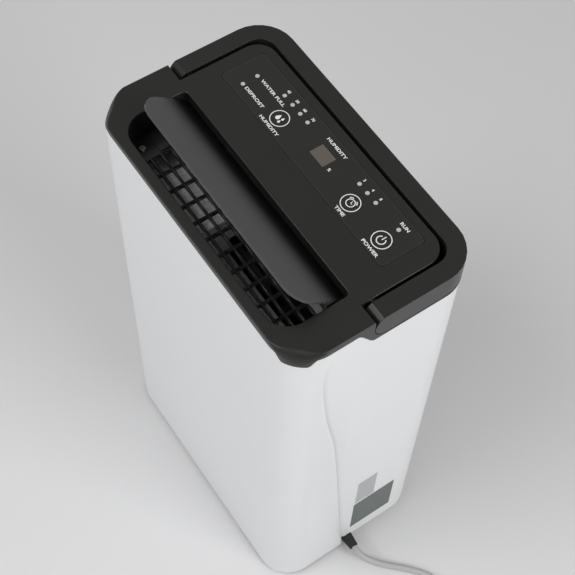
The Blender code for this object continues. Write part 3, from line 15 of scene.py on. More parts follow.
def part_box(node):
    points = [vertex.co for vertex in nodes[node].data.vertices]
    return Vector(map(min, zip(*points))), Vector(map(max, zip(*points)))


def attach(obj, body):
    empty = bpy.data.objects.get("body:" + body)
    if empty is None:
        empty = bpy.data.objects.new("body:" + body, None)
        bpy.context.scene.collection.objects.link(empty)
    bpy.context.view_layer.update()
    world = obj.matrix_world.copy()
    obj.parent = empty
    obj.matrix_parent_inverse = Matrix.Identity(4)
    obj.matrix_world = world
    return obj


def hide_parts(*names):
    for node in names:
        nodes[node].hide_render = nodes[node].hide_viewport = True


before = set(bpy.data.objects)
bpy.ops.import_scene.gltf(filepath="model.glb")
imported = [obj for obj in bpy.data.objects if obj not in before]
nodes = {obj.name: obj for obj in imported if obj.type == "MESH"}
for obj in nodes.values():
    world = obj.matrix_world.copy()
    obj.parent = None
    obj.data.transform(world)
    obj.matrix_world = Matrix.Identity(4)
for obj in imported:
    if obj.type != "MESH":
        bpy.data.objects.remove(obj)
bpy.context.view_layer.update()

# ---- sizes shared with the CAD model ------------------------------------------------------------
cover_low, cover_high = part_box("top_cover")
HALF_W = cover_high.x
HALF_D = cover_high.y
DECK_Z = cover_high.z
LEDGE_BOTTOM = cover_low.z
CASE_BOTTOM_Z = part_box("front_shell")[0].z
REAR_BOTTOM_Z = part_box("rear_shell")[0].z
CORNER_R = 0.034
WALL = 0.0025
GAP = 0.0003
SKIRT_Z = DECK_Z - 0.0065
CHIN_Z = DECK_Z - 0.0160
RAMP_FRONT_Y = -0.031
RAMP_BACK_Y = -0.012
DECK_HALF_X = HALF_W - 0.0195
DECK_BACK_Y = HALF_D - 0.0195
PIVOT_Z = DECK_Z - 0.0114
NOTCH_R = 0.0142
LEDGE_TOP = PIVOT_Z - NOTCH_R
KEYS = {"humidity_key": -0.0507, "time_key": 0.0501, "power_key": 0.0918}
KEY_Y = 0.0334
LAMPS = ((-0.0982, 0.0429), (-0.0978, 0.0280), (-0.0682, 0.0504), (-0.0565, 0.0504), (-0.0453, 0.0504),
         (-0.0346, 0.0504), (0.0391, 0.0503), (0.0498, 0.0503), (0.0611, 0.0503), (0.0917, 0.0503))
# Depth and height of the side seam, from under the handle down to the floor.
SEAM = np.array(((-0.0260, 0.5060), (-0.0400, 0.4975), (-0.0545, 0.4815), (-0.0588, 0.4600),
                 (-0.0570, 0.4250), (-0.0500, 0.3700), (-0.0400, 0.3150), (-0.0315, 0.2400),
                 (-0.0245, 0.1650), (-0.0150, 0.0670), (-0.0070, 0.0000)))
CORD_HOLE = (-0.002, 0.015)
CORD_HOLE_R = 0.0075
CORD_R = 0.0035
CORD_ROUTE = np.array(((0.1635, -0.0020, 0.0150), (0.1690, -0.0020, 0.0150), (0.1760, -0.0002, 0.0132),
                       (0.1835, 0.0050, 0.0090), (0.1915, 0.0125, 0.0052), (0.2000, 0.0212, 0.0038),
                       (0.2095, 0.0310, 0.0037), (0.2190, 0.0398, 0.0037), (0.2300, 0.0480, 0.0037),
                       (0.2430, 0.0540, 0.0037), (0.2570, 0.0580, 0.0037), (0.2720, 0.0595, 0.0037)))
COIL = (0.287, 0.006)

# ---- sizes of the looks only --------------------------------------------------------------------
OPENING = (-0.118, 0.118, -0.081, -0.016)
FILM_RECESS = (-0.1173, 0.1123, 0.0177, 0.0623)
FILM_RECESS_DEPTH = 0.0011
KEY_WELL_R = 0.00935
KEY_WELL_DEPTH = 0.0017
STEM_HOLE_R = 0.0041
RING_OUTER = 0.0087
RING_INNER = 0.0079
PRINT_T = 0.00004
PRINT_Z = DECK_Z + 0.00001


# ---- camera -------------------------------------------------------------------------------------
def add_camera():
    """Looks down on the machine from the front right, well above it."""
    data = bpy.data.cameras.new("camera")
    data.sensor_width = 36.0
    data.lens = 81.02
    data.clip_start = 0.05
    data.clip_end = 20.0
    camera = bpy.data.objects.new("camera", data)
    bpy.context.scene.collection.objects.link(camera)
    right = (0.56244216, 0.82645695, 0.02505445)
    up = (-0.72094937, 0.47535267, 0.50425375)
    back = (0.40483432, -0.30167656, 0.863192)
    turn = Matrix((right, up, back)).transposed().to_4x4()
    camera.matrix_world = Matrix.Translation((0.48761, -0.35096, 1.36437)) @ turn
    bpy.context.scene.camera = camera


add_camera()


# ---- materials ----------------------------------------------------------------------------------
def linear(code):
    """sRGB hex colour to linear light: below 0.04045 divided by 12.92, above it the 2.4 power curve."""
    values = np.array([int(code[i:i + 2], 16) for i in (0, 2, 4)]) / 255.0
    light = np.where(values <= 0.04045, values / 12.92, ((values + 0.055) / 1.055) ** 2.4)
    return (*light.tolist(), 1.0)


def node(tree, kind, links=(), inputs=(), **settings):
    """Adds one node, with its settings, its input values and its links as (input, from node, output)."""
    made = tree.nodes.new(kind)
    for key, value in settings.items():
        setattr(made, key, value)
    for key, value in inputs:
        made.inputs[key].default_value = value
    for key, source, output in links:
        tree.links.new(source.outputs[output], made.inputs[key])
    return made


def start_material(name, colour, roughness, metallic=0.0, ior=None, coat=0.0):
    material = bpy.data.materials.new(name)
    material.use_nodes = True
    tree = material.node_tree
    shader = tree.nodes["Principled BSDF"]
    shader.inputs["Base Color"].default_value = linear(colour)
    shader.inputs["Roughness"].default_value = roughness
    shader.inputs["Metallic"].default_value = metallic
    if ior:
        shader.inputs["IOR"].default_value = ior
    if coat:
        shader.inputs["Coat Weight"].default_value = coat
        shader.inputs["Coat Roughness"].default_value = 0.08
    material.diffuse_color = linear(colour)
    place = node(tree, "ShaderNodeTexCoord")
    return material, tree, shader, place


def moulded(name, colour, light, roughness, grain, depth, ior=1.50, spread=0.04):
    """Injection-moulded plastic: an even colour with faint cloudy flow, and the mould's fine sparked grain.

    grain is the size of one grain in metres, depth the height of the bump it gives.
    """
    material, tree, shader, place = start_material(name, colour, roughness, ior=ior)
    flow = node(tree, "ShaderNodeTexNoise", [("Vector", place, "Object")],
                [("Scale", 9.0), ("Detail", 3.0), ("Roughness", 0.5)])
    tone = node(tree, "ShaderNodeMix", [("Factor", flow, "Fac")], data_type="RGBA")
    tone.inputs["A"].default_value = linear(colour)
    tone.inputs["B"].default_value = linear(light)
    tree.links.new(tone.outputs["Result"], shader.inputs["Base Color"])
    sparks = node(tree, "ShaderNodeTexNoise", [("Vector", place, "Object")],
                  [("Scale", 1.0 / grain), ("Detail", 2.0), ("Roughness", 0.6)])
    gloss = node(tree, "ShaderNodeMapRange", [("Value", flow, "Fac")],
                 [("To Min", roughness - spread), ("To Max", roughness + spread)])
    tree.links.new(gloss.outputs["Result"], shader.inputs["Roughness"])
    bump = node(tree, "ShaderNodeBump", [("Height", sparks, "Fac")],
                [("Strength", 0.35), ("Distance", depth)])
    tree.links.new(bump.outputs["Normal"], shader.inputs["Normal"])
    return material


def metal(name, colour, roughness, stretch=(1.0, 1.0, 1.0), scale=400.0, depth=0.00002, spread=0.08):
    """Bare metal: fine rolling or drawing marks, stretched along the way the sheet or tube was made."""
    material, tree, shader, place = start_material(name, colour, roughness, metallic=1.0)
    along = node(tree, "ShaderNodeMapping", [("Vector", place, "Object")], [("Scale", stretch)])
    marks = node(tree, "ShaderNodeTexNoise", [("Vector", along, "Vector")],
                 [("Scale", scale), ("Detail", 3.0), ("Roughness", 0.6)])
    gloss = node(tree, "ShaderNodeMapRange", [("Value", marks, "Fac")],
                 [("To Min", roughness - spread), ("To Max", roughness + spread)])
    tree.links.new(gloss.outputs["Result"], shader.inputs["Roughness"])
    bump = node(tree, "ShaderNodeBump", [("Height", marks, "Fac")], [("Strength", 0.3), ("Distance", depth)])
    tree.links.new(bump.outputs["Normal"], shader.inputs["Normal"])
    return material


# ABS, moulded, satin: a clean cool white with a soft wide shine.
white_abs = moulded("white_abs_moulded", "E9EAEB", "E4E5E6", 0.33, 0.0009, 0.00003, ior=1.52, spread=0.03)
# ABS, moulded over a sparked tool: a warm near-black that turns grey where it faces the light.
black_abs = moulded("black_abs_sparked", "1B1B18", "20201D", 0.36, 0.0008, 0.00003, ior=1.50)
# The handle's glass-filled ABS: the same black, slightly smoother where hands polish it.
handle_abs = moulded("black_abs_handle", "1B1B19", "21211F", 0.33, 0.0008, 0.00003, ior=1.50)
# Matt polypropylene of the duct, wheel and switch housing: absorbs most light.
dull_black = moulded("black_polypropylene", "1B1B1A", "202020", 0.55, 0.0012, 0.00005, ior=1.49)
# Grille bars, moulded with sharper gloss along their tops.
grille_abs = moulded("black_abs_grille", "242423", "2A2A29", 0.22, 0.0009, 0.00002, ior=1.52)
# Screen-printed polycarbonate film: smooth, slightly velvet, a touch darker than the deck.
film = moulded("printed_polycarbonate_film", "1A1A17", "1D1D1A", 0.30, 0.0006, 0.00001,
               ior=1.58, spread=0.02)
# Key tops of the same film.
key_film = moulded("key_polycarbonate", "1A1A17", "1D1D1A", 0.30, 0.0006, 0.00001, ior=1.58, spread=0.02)
# White screen print, slightly raised, matt.
white_print = moulded("white_screen_print", "EFEFEC", "E6E6E2", 0.50, 0.0005, 0.00001)
# Dark grey line print at the film's edge.
line_print = moulded("grey_line_print", "3A3A37", "40403D", 0.45, 0.0005, 0.00001)
# Light guide: acetal with a milky face.
guide_plastic = moulded("milky_acetal", "B9BAB7", "C3C4C1", 0.32, 0.0006, 0.00001)
# Cord jacket and plug: soft PVC with a dull bloom.
cord_pvc = moulded("grey_pvc_jacket", "B9BAB8", "AFB0AE", 0.50, 0.0012, 0.00005, ior=1.53)
# Feet, mounts and strain relief: vulcanised rubber, dusty black.
rubber = moulded("vulcanised_rubber", "1C1C1C", "292929", 0.78, 0.0015, 0.00010)
# Stick-on labels: grey-green satin film and pale paper film.
label_film = moulded("grey_green_label_film", "59625D", "5E6762", 0.45, 0.0010, 0.00002)
pale_label = moulded("pale_label_film", "B2B2B6", "B8B8BC", 0.50, 0.0010, 0.00002)
# Tank: polystyrene, grey and cloudy, glossy outside.
tank_plastic = moulded("grey_polystyrene", "9CA3A9", "A6ADB3", 0.20, 0.0020, 0.00002, ior=1.59)
# Filter: black woven mesh in its moulded frame.
filter_plastic = moulded("black_filter_frame", "1E1E20", "242426", 0.60, 0.0010, 0.00005)
# Board: green lacquer over glass cloth.
board_lacquer = moulded("green_board_lacquer", "1F5A34", "1A4D2C", 0.30, 0.0010, 0.00003)
# Metals.
aluminium = metal("aluminium_fin_sheet", "C9CCD0", 0.36, (1.0, 1.0, 0.05))
copper = metal("drawn_copper_tube", "C77B52", 0.30, (0.2, 1.0, 1.0))
zinc_steel = metal("zinc_plated_steel", "A9ACAE", 0.38, (1.0, 0.1, 1.0))
black_paint = moulded("black_paint_on_steel", "151517", "1C1C1E", 0.34, 0.0020, 0.00006, ior=1.50)


def foam_material():
    """Expanded polystyrene: white beads 3 mm across, pressed together, so each has a faint rim and dome; the
    greyer rims are painted shade for the creases between the beads.
    """
    material, tree, shader, place = start_material("expanded_polystyrene_foam", "EFF1F2", 0.75)
    beads = node(tree, "ShaderNodeTexVoronoi", [("Vector", place, "Object")], [("Scale", 330.0)])
    # Painted shade: each bead's colour runs from F6F8F9 in the middle to D3D6D8 at its rim, for the shade in
    # the creases between beads.
    rim = node(tree, "ShaderNodeValToRGB", [("Fac", beads, "Distance")])
    rim.color_ramp.elements[0].color = linear("F6F8F9")
    rim.color_ramp.elements[1].color = linear("D3D6D8")
    rim.color_ramp.elements[0].position = 0.35
    rim.color_ramp.elements[1].position = 0.95
    tree.links.new(rim.outputs["Color"], shader.inputs["Base Color"])
    bump = node(tree, "ShaderNodeBump", [("Height", beads, "Distance")],
                [("Strength", 0.5), ("Distance", 0.0003)])
    bump.invert = True
    tree.links.new(bump.outputs["Normal"], shader.inputs["Normal"])
    return material


def smoked_acrylic():
    """Smoked acrylic window over the dark digits: a warm grey, polished."""
    material, tree, shader, place = start_material("smoked_acrylic_window", "5E594F", 0.12,
                                                   ior=1.49, coat=0.3)
    cloud = node(tree, "ShaderNodeTexNoise", [("Vector", place, "Object")],
                 [("Scale", 60.0), ("Detail", 2.0)])
    gloss = node(tree, "ShaderNodeMapRange", [("Value", cloud, "Fac")], [("To Min", 0.05), ("To Max", 0.11)])
    tree.links.new(gloss.outputs["Result"], shader.inputs["Roughness"])
    return material


def flap_material_with_painted_shade():
    """The flap's dark grey ABS, a little glossier than the top.

    The colour deepens towards the hinge side, to stand for the shade that the flap lies in when it is open.
    """
    material, tree, shader, place = start_material("grey_abs_flap", "464646", 0.27, ior=1.52)
    low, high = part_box("outlet_flap")
    axes = node(tree, "ShaderNodeSeparateXYZ", [("Vector", place, "Object")])
    share = node(tree, "ShaderNodeMapRange", [("Value", axes, "Y")],
                 [("From Min", low.y), ("From Max", high.y)])
    # Painted shade: the ramp darkens the grey from 484848 at the front to 101011 at the hinge side, for the
    # shade the open flap lies in; the shut flap shows it too.
    tone = node(tree, "ShaderNodeValToRGB", [("Fac", share, "Result")])
    tone.color_ramp.interpolation = "EASE"
    tone.color_ramp.elements[0].color = linear("484848")
    tone.color_ramp.elements[0].position = 0.45
    tone.color_ramp.elements[1].color = linear("101011")
    tone.color_ramp.elements[1].position = 0.85
    tree.links.new(tone.outputs["Color"], shader.inputs["Base Color"])
    sparks = node(tree, "ShaderNodeTexNoise", [("Vector", place, "Object")],
                  [("Scale", 1100.0), ("Detail", 2.0), ("Roughness", 0.6)])
    bump = node(tree, "ShaderNodeBump", [("Height", sparks, "Fac")],
                [("Strength", 0.35), ("Distance", 0.00003)])
    tree.links.new(bump.outputs["Normal"], shader.inputs["Normal"])
    return material


flap_abs = flap_material_with_painted_shade()
foam = foam_material()
window_acrylic = smoked_acrylic()

CAD_FINISHES = {
    "base_pan": white_abs, "drip_tray": white_abs, "outlet_duct": dull_black, "fan_wheel": dull_black,
    "level_switch": dull_black, "control_film": film, "display_window": window_acrylic,
    "light_guide": guide_plastic, "air_scroll": foam, "tank_float": foam, "tank_lid": tank_plastic,
    "run_capacitor": tank_plastic, "air_filter": filter_plastic, "control_board": board_lacquer,
    "main_board": board_lacquer, "condenser_fins": aluminium, "evaporator_fins": aluminium,
    "condenser_tube": copper, "evaporator_tube": copper, "discharge_pipe": copper, "suction_line": copper,
    "capillary_tube": copper, "mid_shelf": zinc_steel, "handle_pin_left": zinc_steel,
    "handle_pin_right": zinc_steel, "duct_screw": zinc_steel, "flap_pin_left": zinc_steel,
    "flap_drive_shaft": zinc_steel, "fan_shaft": zinc_steel, "coil_frame": zinc_steel,
    "plug_pin_1": zinc_steel, "plug_pin_2": zinc_steel, "flap_motor": black_paint, "fan_motor": black_paint,
    "compressor": black_paint, "compressor_mount_1": rubber, "compressor_mount_2": rubber,
    "compressor_mount_3": rubber, "foot_1": rubber, "foot_2": rubber, "foot_3": rubber, "foot_4": rubber,
    "rating_label": label_film, "care_label": pale_label,
}
for name, material in CAD_FINISHES.items():
    nodes[name].data.materials.clear()
    nodes[name].data.materials.append(material)


# ---- building blocks ----------------------------------------------------------------------------
def piece(name, verts, faces, material, body=None, sharp=35.0):
    """A mesh object at the origin, smooth except across edges sharper than the angle."""
    mesh = bpy.data.meshes.new(name)
    mesh.from_pydata(np.asarray(verts, float).tolist(), [], [list(f) for f in faces])
    mesh.validate()
    obj = bpy.data.objects.new(name, mesh)
    bpy.context.scene.collection.objects.link(obj)
    if material:
        mesh.materials.append(material)
    mesh.shade_smooth()
    mesh.set_sharp_from_angle(angle=math.radians(sharp))
    if body:
        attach(obj, body)
    return obj


def quads(rows, columns, wrap=False):
    """Faces of a grid stored row by row; wrap joins the last column to the first."""
    i, j = np.meshgrid(np.arange(rows - 1), np.arange(columns if wrap else columns - 1), indexing="ij")
    k = (j + 1) % columns
    return np.stack([i * columns + j, i * columns + k, (i + 1) * columns + k, (i + 1) * columns + j],
                    axis=-1).reshape(-1, 4)


def prism(outline, low, high, along="Z", name="guide"):
    """A flat outline carried from low to high: (x, y) along Z, (y, z) along X, (x, z) along Y."""
    flat = np.asarray(outline, float)
    count = len(flat)
    ends = [np.column_stack([flat, np.full(count, level)]) for level in (low, high)]
    points = np.vstack(ends)
    order = {"Z": (0, 1, 2), "X": (2, 0, 1), "Y": (0, 2, 1)}[along]
    points = points[:, order]
    faces = [list(f) for f in quads(2, count, wrap=True)]
    faces += [list(range(count))[::-1], list(range(count, 2 * count))]
    obj = piece(name, points, faces, None)
    outwards(obj.data)
    return obj


def block(low, high, name="guide"):
    outline = [(low[0], low[1]), (high[0], low[1]), (high[0], high[1]), (low[0], high[1])]
    return prism(outline, low[2], high[2], name=name)


def cylinder(centre, radius, low, high, along, sides=48):
    """Round guide about an axis; centre holds the two coordinates across the axis."""
    angles = np.linspace(0, 2 * math.pi, sides, endpoint=False)
    outline = np.column_stack([centre[0] + radius * np.cos(angles), centre[1] + radius * np.sin(angles)])
    return prism(outline, low, high, along=along)


def outwards(mesh):
    bm = bmesh.new()
    bm.from_mesh(mesh)
    bmesh.ops.remove_doubles(bm, verts=bm.verts, dist=1e-7)
    bmesh.ops.recalc_face_normals(bm, faces=bm.faces)
    bm.to_mesh(mesh)
    bm.free()


def bake(obj):
    """Replaces the mesh by what its modifiers make of it."""
    bpy.context.view_layer.update()
    seen = obj.evaluated_get(bpy.context.evaluated_depsgraph_get())
    made = bpy.data.meshes.new_from_object(seen)
    obj.modifiers.clear()
    old = obj.data
    obj.data = made
    bpy.data.meshes.remove(old)
    return obj


def carve(obj, operation, *guides):
    """Exact Booleans with guides that are removed afterwards."""
    for guide in guides:
        step = obj.modifiers.new("carve", "BOOLEAN")
        step.operation = operation
        step.solver = "EXACT"
        step.object = guide
    bake(obj)
    for guide in guides:
        mesh = guide.data
        bpy.data.objects.remove(guide)
        bpy.data.meshes.remove(mesh)
    return obj


def soften(obj, width, segments=3, angle=40.0):
    """Rounded edges with true normals on the flats between them."""
    bevel = obj.modifiers.new("rounded edges", "BEVEL")
    bevel.width = width
    bevel.segments = segments
    bevel.limit_method = "ANGLE"
    bevel.angle_limit = math.radians(angle)
    bevel.use_clamp_overlap = True
    obj.modifiers.new("even shine", "WEIGHTED_NORMAL").keep_sharp = False
    obj.data.shade_smooth()
    return obj


def refined(node_name, name, material, body, width, segments=3, angle=40.0):
    """A CAD moulding with its loose triangles merged, its flats joined and its edges rounded."""
    mesh = nodes[node_name].data.copy()
    mesh.name = name
    bm = bmesh.new()
    bm.from_mesh(mesh)
    bmesh.ops.remove_doubles(bm, verts=bm.verts, dist=1e-6)
    bmesh.ops.dissolve_limit(bm, angle_limit=math.radians(1.0), verts=bm.verts, edges=bm.edges)
    bm.to_mesh(mesh)
    bm.free()
    mesh.materials.clear()
    mesh.materials.append(material)
    obj = bpy.data.objects.new(name, mesh)
    bpy.context.scene.collection.objects.link(obj)
    soften(obj, width, segments, angle)
    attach(obj, body)
    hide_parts(node_name)
    return obj


def arc(cx, cy, radius, start, end, steps):
    angles = np.radians(np.linspace(start, end, steps + 1))
    return [(cx + radius * math.cos(a), cy + radius * math.sin(a)) for a in angles]


def rounded(x0, x1, y0, y1, front_r, back_r=None, steps=12):
    """Rounded rectangle, anticlockwise from the front left corner."""
    back_r = front_r if back_r is None else back_r
    points = arc(x0 + front_r, y0 + front_r, front_r, 180, 270, steps)
    points += arc(x1 - front_r, y0 + front_r, front_r, 270, 360, steps)
    points += arc(x1 - back_r, y1 - back_r, back_r, 0, 90, steps)
    points += arc(x0 + back_r, y1 - back_r, back_r, 90, 180, steps)
    return points


def ease(t):
    """Smooth step: 3 t squared minus 2 t cubed, held at 0 and 1 outside."""
    t = np.clip(t, 0.0, 1.0)
    return t * t * (3.0 - 2.0 * t)


def through(points, count):
    """Catmull-Rom curve through the points, count samples a span."""
    ends = np.vstack([2 * points[0] - points[1], points, 2 * points[-1] - points[-2]])
    t = np.linspace(0, 1, count, endpoint=False)[:, None]
    spans = [0.5 * (2 * b + (c - a) * t + (2 * a - 5 * b + 4 * c - d) * t * t
                    + (3 * b - a - 3 * c + d) * t ** 3)
             for a, b, c, d in zip(ends, ends[1:], ends[2:], ends[3:])]
    return np.vstack([*spans, points[-1:]])


# ---- mains lead ---------------------------------------------------------------------------------
def coil_turns():
    """Two layers of turns about the coil's middle.

    The radius steps in over three turns, the height steps up one diameter, the radius steps out again, and
    the last quarter turn runs down into the plug.
    """
    turns = np.linspace(0.0, 5.5, 133)
    outer, middle, inner = 0.0455, 0.0385, 0.0315
    radius = np.interp(turns, (0, 0.35, 1.0, 1.15, 2.0, 2.15, 4.0, 4.15, 5.0, 5.15, 5.24, 5.5),
                       (0.0536, outer, outer, middle, middle, inner, inner, middle, middle, outer,
                        0.0462, 0.0542))
    height = np.interp(turns, (0, 2.9, 3.15, 5.22, 5.5), (0.0037, 0.0037, 0.0108, 0.0108, 0.0070))
    soft = np.ones(7) / 7
    radius = np.convolve(np.pad(radius, 3, mode="edge"), soft, mode="valid")
    height = np.convolve(np.pad(height, 3, mode="edge"), soft, mode="valid")
    angle = math.pi / 2 - 2 * math.pi * turns
    return np.column_stack([COIL[0] + radius * np.cos(angle), COIL[1] + radius * np.sin(angle), height])


def add_cord():
    lead = through(CORD_ROUTE, 3)
    line = np.vstack([lead[:-1], coil_turns()])
    curve = bpy.data.curves.new("mains_cord", "CURVE")
    curve.dimensions = "3D"
    curve.bevel_depth = CORD_R
    curve.bevel_resolution = 4
    curve.use_fill_caps = True
    spline = curve.splines.new("POLY")
    spline.points.add(len(line) - 1)
    spline.points.foreach_set("co", np.column_stack([line, np.ones(len(line))]).ravel())
    curve.materials.append(cord_pvc)
    cord = bpy.data.objects.new("mains_cord", curve)
    bpy.context.scene.collection.objects.link(cord)
    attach(cord, "housing")
    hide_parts("cord_tube", "cord_coil")
    length = float(np.linalg.norm(np.diff(line, axis=0), axis=1).sum())
    return cord, length


gland = refined("cord_gland", "strain_relief", rubber, "housing", 0.0005)
plug = refined("plug_body", "mains_plug", cord_pvc, "housing", 0.0012)
cord, cord_length = add_cord()


# ---- case ---------------------------------------------------------------------------------------
STRAIGHT_X = HALF_W - CORNER_R
STRAIGHT_Y = HALF_D - CORNER_R
ARC_LEN = CORNER_R * math.pi / 2
# From the middle of the front to the middle of the back.
HALF_ROUND = 2 * (STRAIGHT_X + ARC_LEN + STRAIGHT_Y)


def round_case(s, inset):
    """Point on the case's plan at distance s from the middle of the front, moved in by inset.

    Straight along the front, then a quarter circle, then straight along the side; the left half mirrors it.
    """
    side = np.sign(s)
    run = np.abs(s)
    angle = np.clip((run - STRAIGHT_X) / CORNER_R, 0.0, math.pi / 2)
    x = np.minimum(run, STRAIGHT_X) + CORNER_R * np.sin(angle)
    y = -STRAIGHT_Y - CORNER_R * np.cos(angle) + np.maximum(run - STRAIGHT_X - ARC_LEN, 0.0)
    return side * (x - inset * np.sin(angle)), y + inset * np.cos(angle), angle


def run_to(y):
    """Distance from the middle of the front to the point of the side or corner at depth y."""
    angle = np.arccos(np.clip((-STRAIGHT_Y - y) / CORNER_R, 0.0, 1.0))
    return STRAIGHT_X + CORNER_R * angle + np.maximum(y + STRAIGHT_Y, 0.0)


def chin(angle):
    """How much of the deep corner edge there is at a corner angle: 0 at front and side, 1 in the middle."""
    degrees = np.degrees(angle)
    return ease((degrees - 13.0) / 14.0) * (1.0 - ease((degrees - 60.0) / 14.0))


def edge_z(y, angle):
    """Lower edge of the black top: level, dropped at the front corners, with an S down to the ledge."""
    drop = (SKIRT_Z - CHIN_Z) * chin(angle)
    ramp = (SKIRT_Z - LEDGE_BOTTOM) * ease((y - RAMP_FRONT_Y) / (RAMP_BACK_Y - RAMP_FRONT_Y))
    return SKIRT_Z - drop - ramp


seam_line = through(SEAM, 12)[::-1]


def seam_y(z):
    return np.interp(z, seam_line[:, 1], seam_line[:, 0])


def seam_ends(rows, bottom, shift):
    """How far round the case each row reaches: where its own height, found by repetition, meets the seam."""
    z = np.full_like(rows, bottom)
    for _ in range(40):
        y = seam_y(z) + shift
        z = bottom + rows * (edge_z(y, 0.0) - GAP - bottom)
    return run_to(y)[:, None]


def leaf_width(z):
    """Width of the shallow facet behind the seam: a leaf, widest near the top and a thin line lower down."""
    return np.interp(z, (0.0, 0.10, 0.25, 0.3136, 0.3879, 0.4288, 0.4726, 0.51),
                     (0.0040, 0.0050, 0.0080, 0.0140, 0.0250, 0.0380, 0.0430, 0.0440))


def moulded_half(name, points, shape, thickness, replaced, *guides):
    """Thickens a grid inwards, cuts the guides out of it and lets it stand for its CAD node."""
    shell = piece(name, points, quads(*shape), white_abs, sharp=60)
    wall = shell.modifiers.new("wall", "SOLIDIFY")
    wall.thickness = thickness
    wall.offset = -1.0
    bake(shell)
    carve(shell, "DIFFERENCE", *guides)
    shell.data.shade_smooth()
    shell.data.set_sharp_from_angle(angle=math.radians(50))
    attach(shell, "housing")
    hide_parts(replaced)


def cord_hole():
    return cylinder(CORD_HOLE, CORD_HOLE_R, 0.13, 0.17, "X")


def bay(node_name, gap=0.0005):
    """Guide for the opening in the back that a piece goes into, with a small gap round the piece."""
    low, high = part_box(node_name)
    return block((low.x - gap, HALF_D - 0.012, low.z - gap), (high.x + gap, HALF_D + 0.01, high.z + gap))


def front_half():
    """Grid of rows up and columns round: each row's ends lie on the seam, the top row on the black edge."""
    rows = 1.0 - (1.0 - np.linspace(0, 1, 80)) ** 1.35
    across = np.linspace(-1, 1, 241)
    v, u = np.meshgrid(rows, across, indexing="ij")
    s = u * seam_ends(rows, CASE_BOTTOM_Z, -GAP / 2)
    y, angle = round_case(s, 0.0)[1:]
    z = CASE_BOTTOM_Z + v * (edge_z(y, angle) - GAP - CASE_BOTTOM_Z)
    half_length = 0.2
    from_seam = (1 - np.abs(u)) * half_length
    roll = 0.0007 * np.exp(-(from_seam / 0.0016) ** 2)
    x, y = round_case(s, roll)[:2]
    points = np.stack([x, y, z], axis=-1).reshape(-1, 3)
    moulded_half("front_case", points, v.shape, WALL, "front_shell", cord_hole())


def rear_half():
    """The same grid from the right seam round the back to the left seam, let in behind the seam.

    The inset falls from 2.2 mm at the seam to 0.7 mm at the leaf's rear line; a narrow groove marks the seam.
    """
    rows = 1.0 - (1.0 - np.linspace(0, 1, 80)) ** 1.2
    across = np.linspace(-1, 1, 281)
    v, u = np.meshgrid(rows, across, indexing="ij")
    s = u * (HALF_ROUND - seam_ends(rows, REAR_BOTTOM_Z, GAP / 2))
    y = -round_case(s, 0.0)[1]
    z = REAR_BOTTOM_Z + v * (edge_z(y, 0.0) - GAP - REAR_BOTTOM_Z)
    behind = y - seam_y(z)
    inset = 0.0007 + 0.0015 * (1.0 - np.clip(behind / leaf_width(z), 0.0, 1.0))
    inset += 0.0014 * np.exp(-(behind / 0.0022) ** 2)
    x, y = round_case(s, inset)[:2]
    points = np.stack([-x, -y, z], axis=-1).reshape(-1, 3)
    moulded_half("rear_case", points, v.shape, 0.0022, "rear_shell",
                 bay("intake_grille"), bay("water_tank"), cord_hole())


front_half()
rear_half()


# ---- black top ----------------------------------------------------------------------------------
def cover_body():
    """Closed solid under the whole deck.

    Each upright line of its side goes up the plan's outline, then over a quarter curve to the deck. The curve
    is small all round, and 7 mm wide and 13 mm deep at the front corners.
    """
    full = HALF_ROUND
    corner = np.linspace(0, ARC_LEN, 40)
    rear_corner = STRAIGHT_X + ARC_LEN + 2 * STRAIGHT_Y + corner
    marks = np.concatenate([[0.0], STRAIGHT_X + corner, rear_corner, [full]])
    half = np.unique(np.round(marks, 7))
    s = np.concatenate([-half[::-1][:-1], half[:-1]])
    run = np.abs(s)
    front = run < STRAIGHT_X + ARC_LEN + STRAIGHT_Y
    mirrored = np.where(front, run, full - run)
    angle = np.clip((mirrored - STRAIGHT_X) / CORNER_R, 0, math.pi / 2)
    lens = np.where(front, np.abs(np.sin(2 * angle)) ** 1.6, 0.0)
    wide = 0.0009 + 0.0064 * lens
    deep = 0.0009 + 0.0120 * lens
    rings = []
    levels = [(0.0, None)] + [(t, t) for t in np.linspace(0, 1, 9)]
    for t, bend in levels:
        if bend is None:
            inset = np.zeros_like(s)
            z = np.full_like(s, LEDGE_BOTTOM)
        else:
            turn = t * math.pi / 2
            inset = wide * (0.62 * (1 - math.cos(turn)) + 0.38 * t)
            z = DECK_Z - deep + deep * (0.62 * math.sin(turn) + 0.38 * t)
        along_side = np.maximum(mirrored - STRAIGHT_X - ARC_LEN, 0)
        x = np.minimum(mirrored, STRAIGHT_X) + CORNER_R * np.sin(angle) - inset * np.sin(angle)
        y = -STRAIGHT_Y - CORNER_R * np.cos(angle) + along_side + inset * np.cos(angle)
        rings.append(np.column_stack([np.sign(s + 1e-12) * x, np.where(front, y, -y), z]))
    count = len(s)
    points = np.vstack(rings)
    faces = [list(f) for f in quads(len(rings), count, wrap=True)]
    faces += [list(range(count))[::-1], list(range((len(rings) - 1) * count, len(rings) * count))]
    return piece("black_top", points, faces, black_abs)


def below_black_edge():
    """A band along the plan from one side's ledge round the front to the other; its top is the black edge."""
    across = np.linspace(-1, 1, 361)
    s = across * run_to(RAMP_BACK_Y + 0.004)
    outer_x, outer_y = round_case(s, -0.02)[:2]
    wall_y, angle = round_case(s, 0.0)[1:]
    inner_x, inner_y = round_case(s, 0.012)[:2]
    top = edge_z(wall_y, angle)
    low = np.full_like(top, LEDGE_BOTTOM - 0.02)
    edges = ((outer_x, outer_y, low), (outer_x, outer_y, top),
             (inner_x, inner_y, top), (inner_x, inner_y, low))
    rings = np.stack([np.column_stack(edge) for edge in edges], axis=1)
    count = len(s)
    faces = quads(count, 4, wrap=True).tolist() + [[3, 2, 1, 0], [4 * count - 4 + i for i in range(4)]]
    guide = piece("guide", rings.reshape(-1, 3), faces, None)
    outwards(guide.data)
    return guide


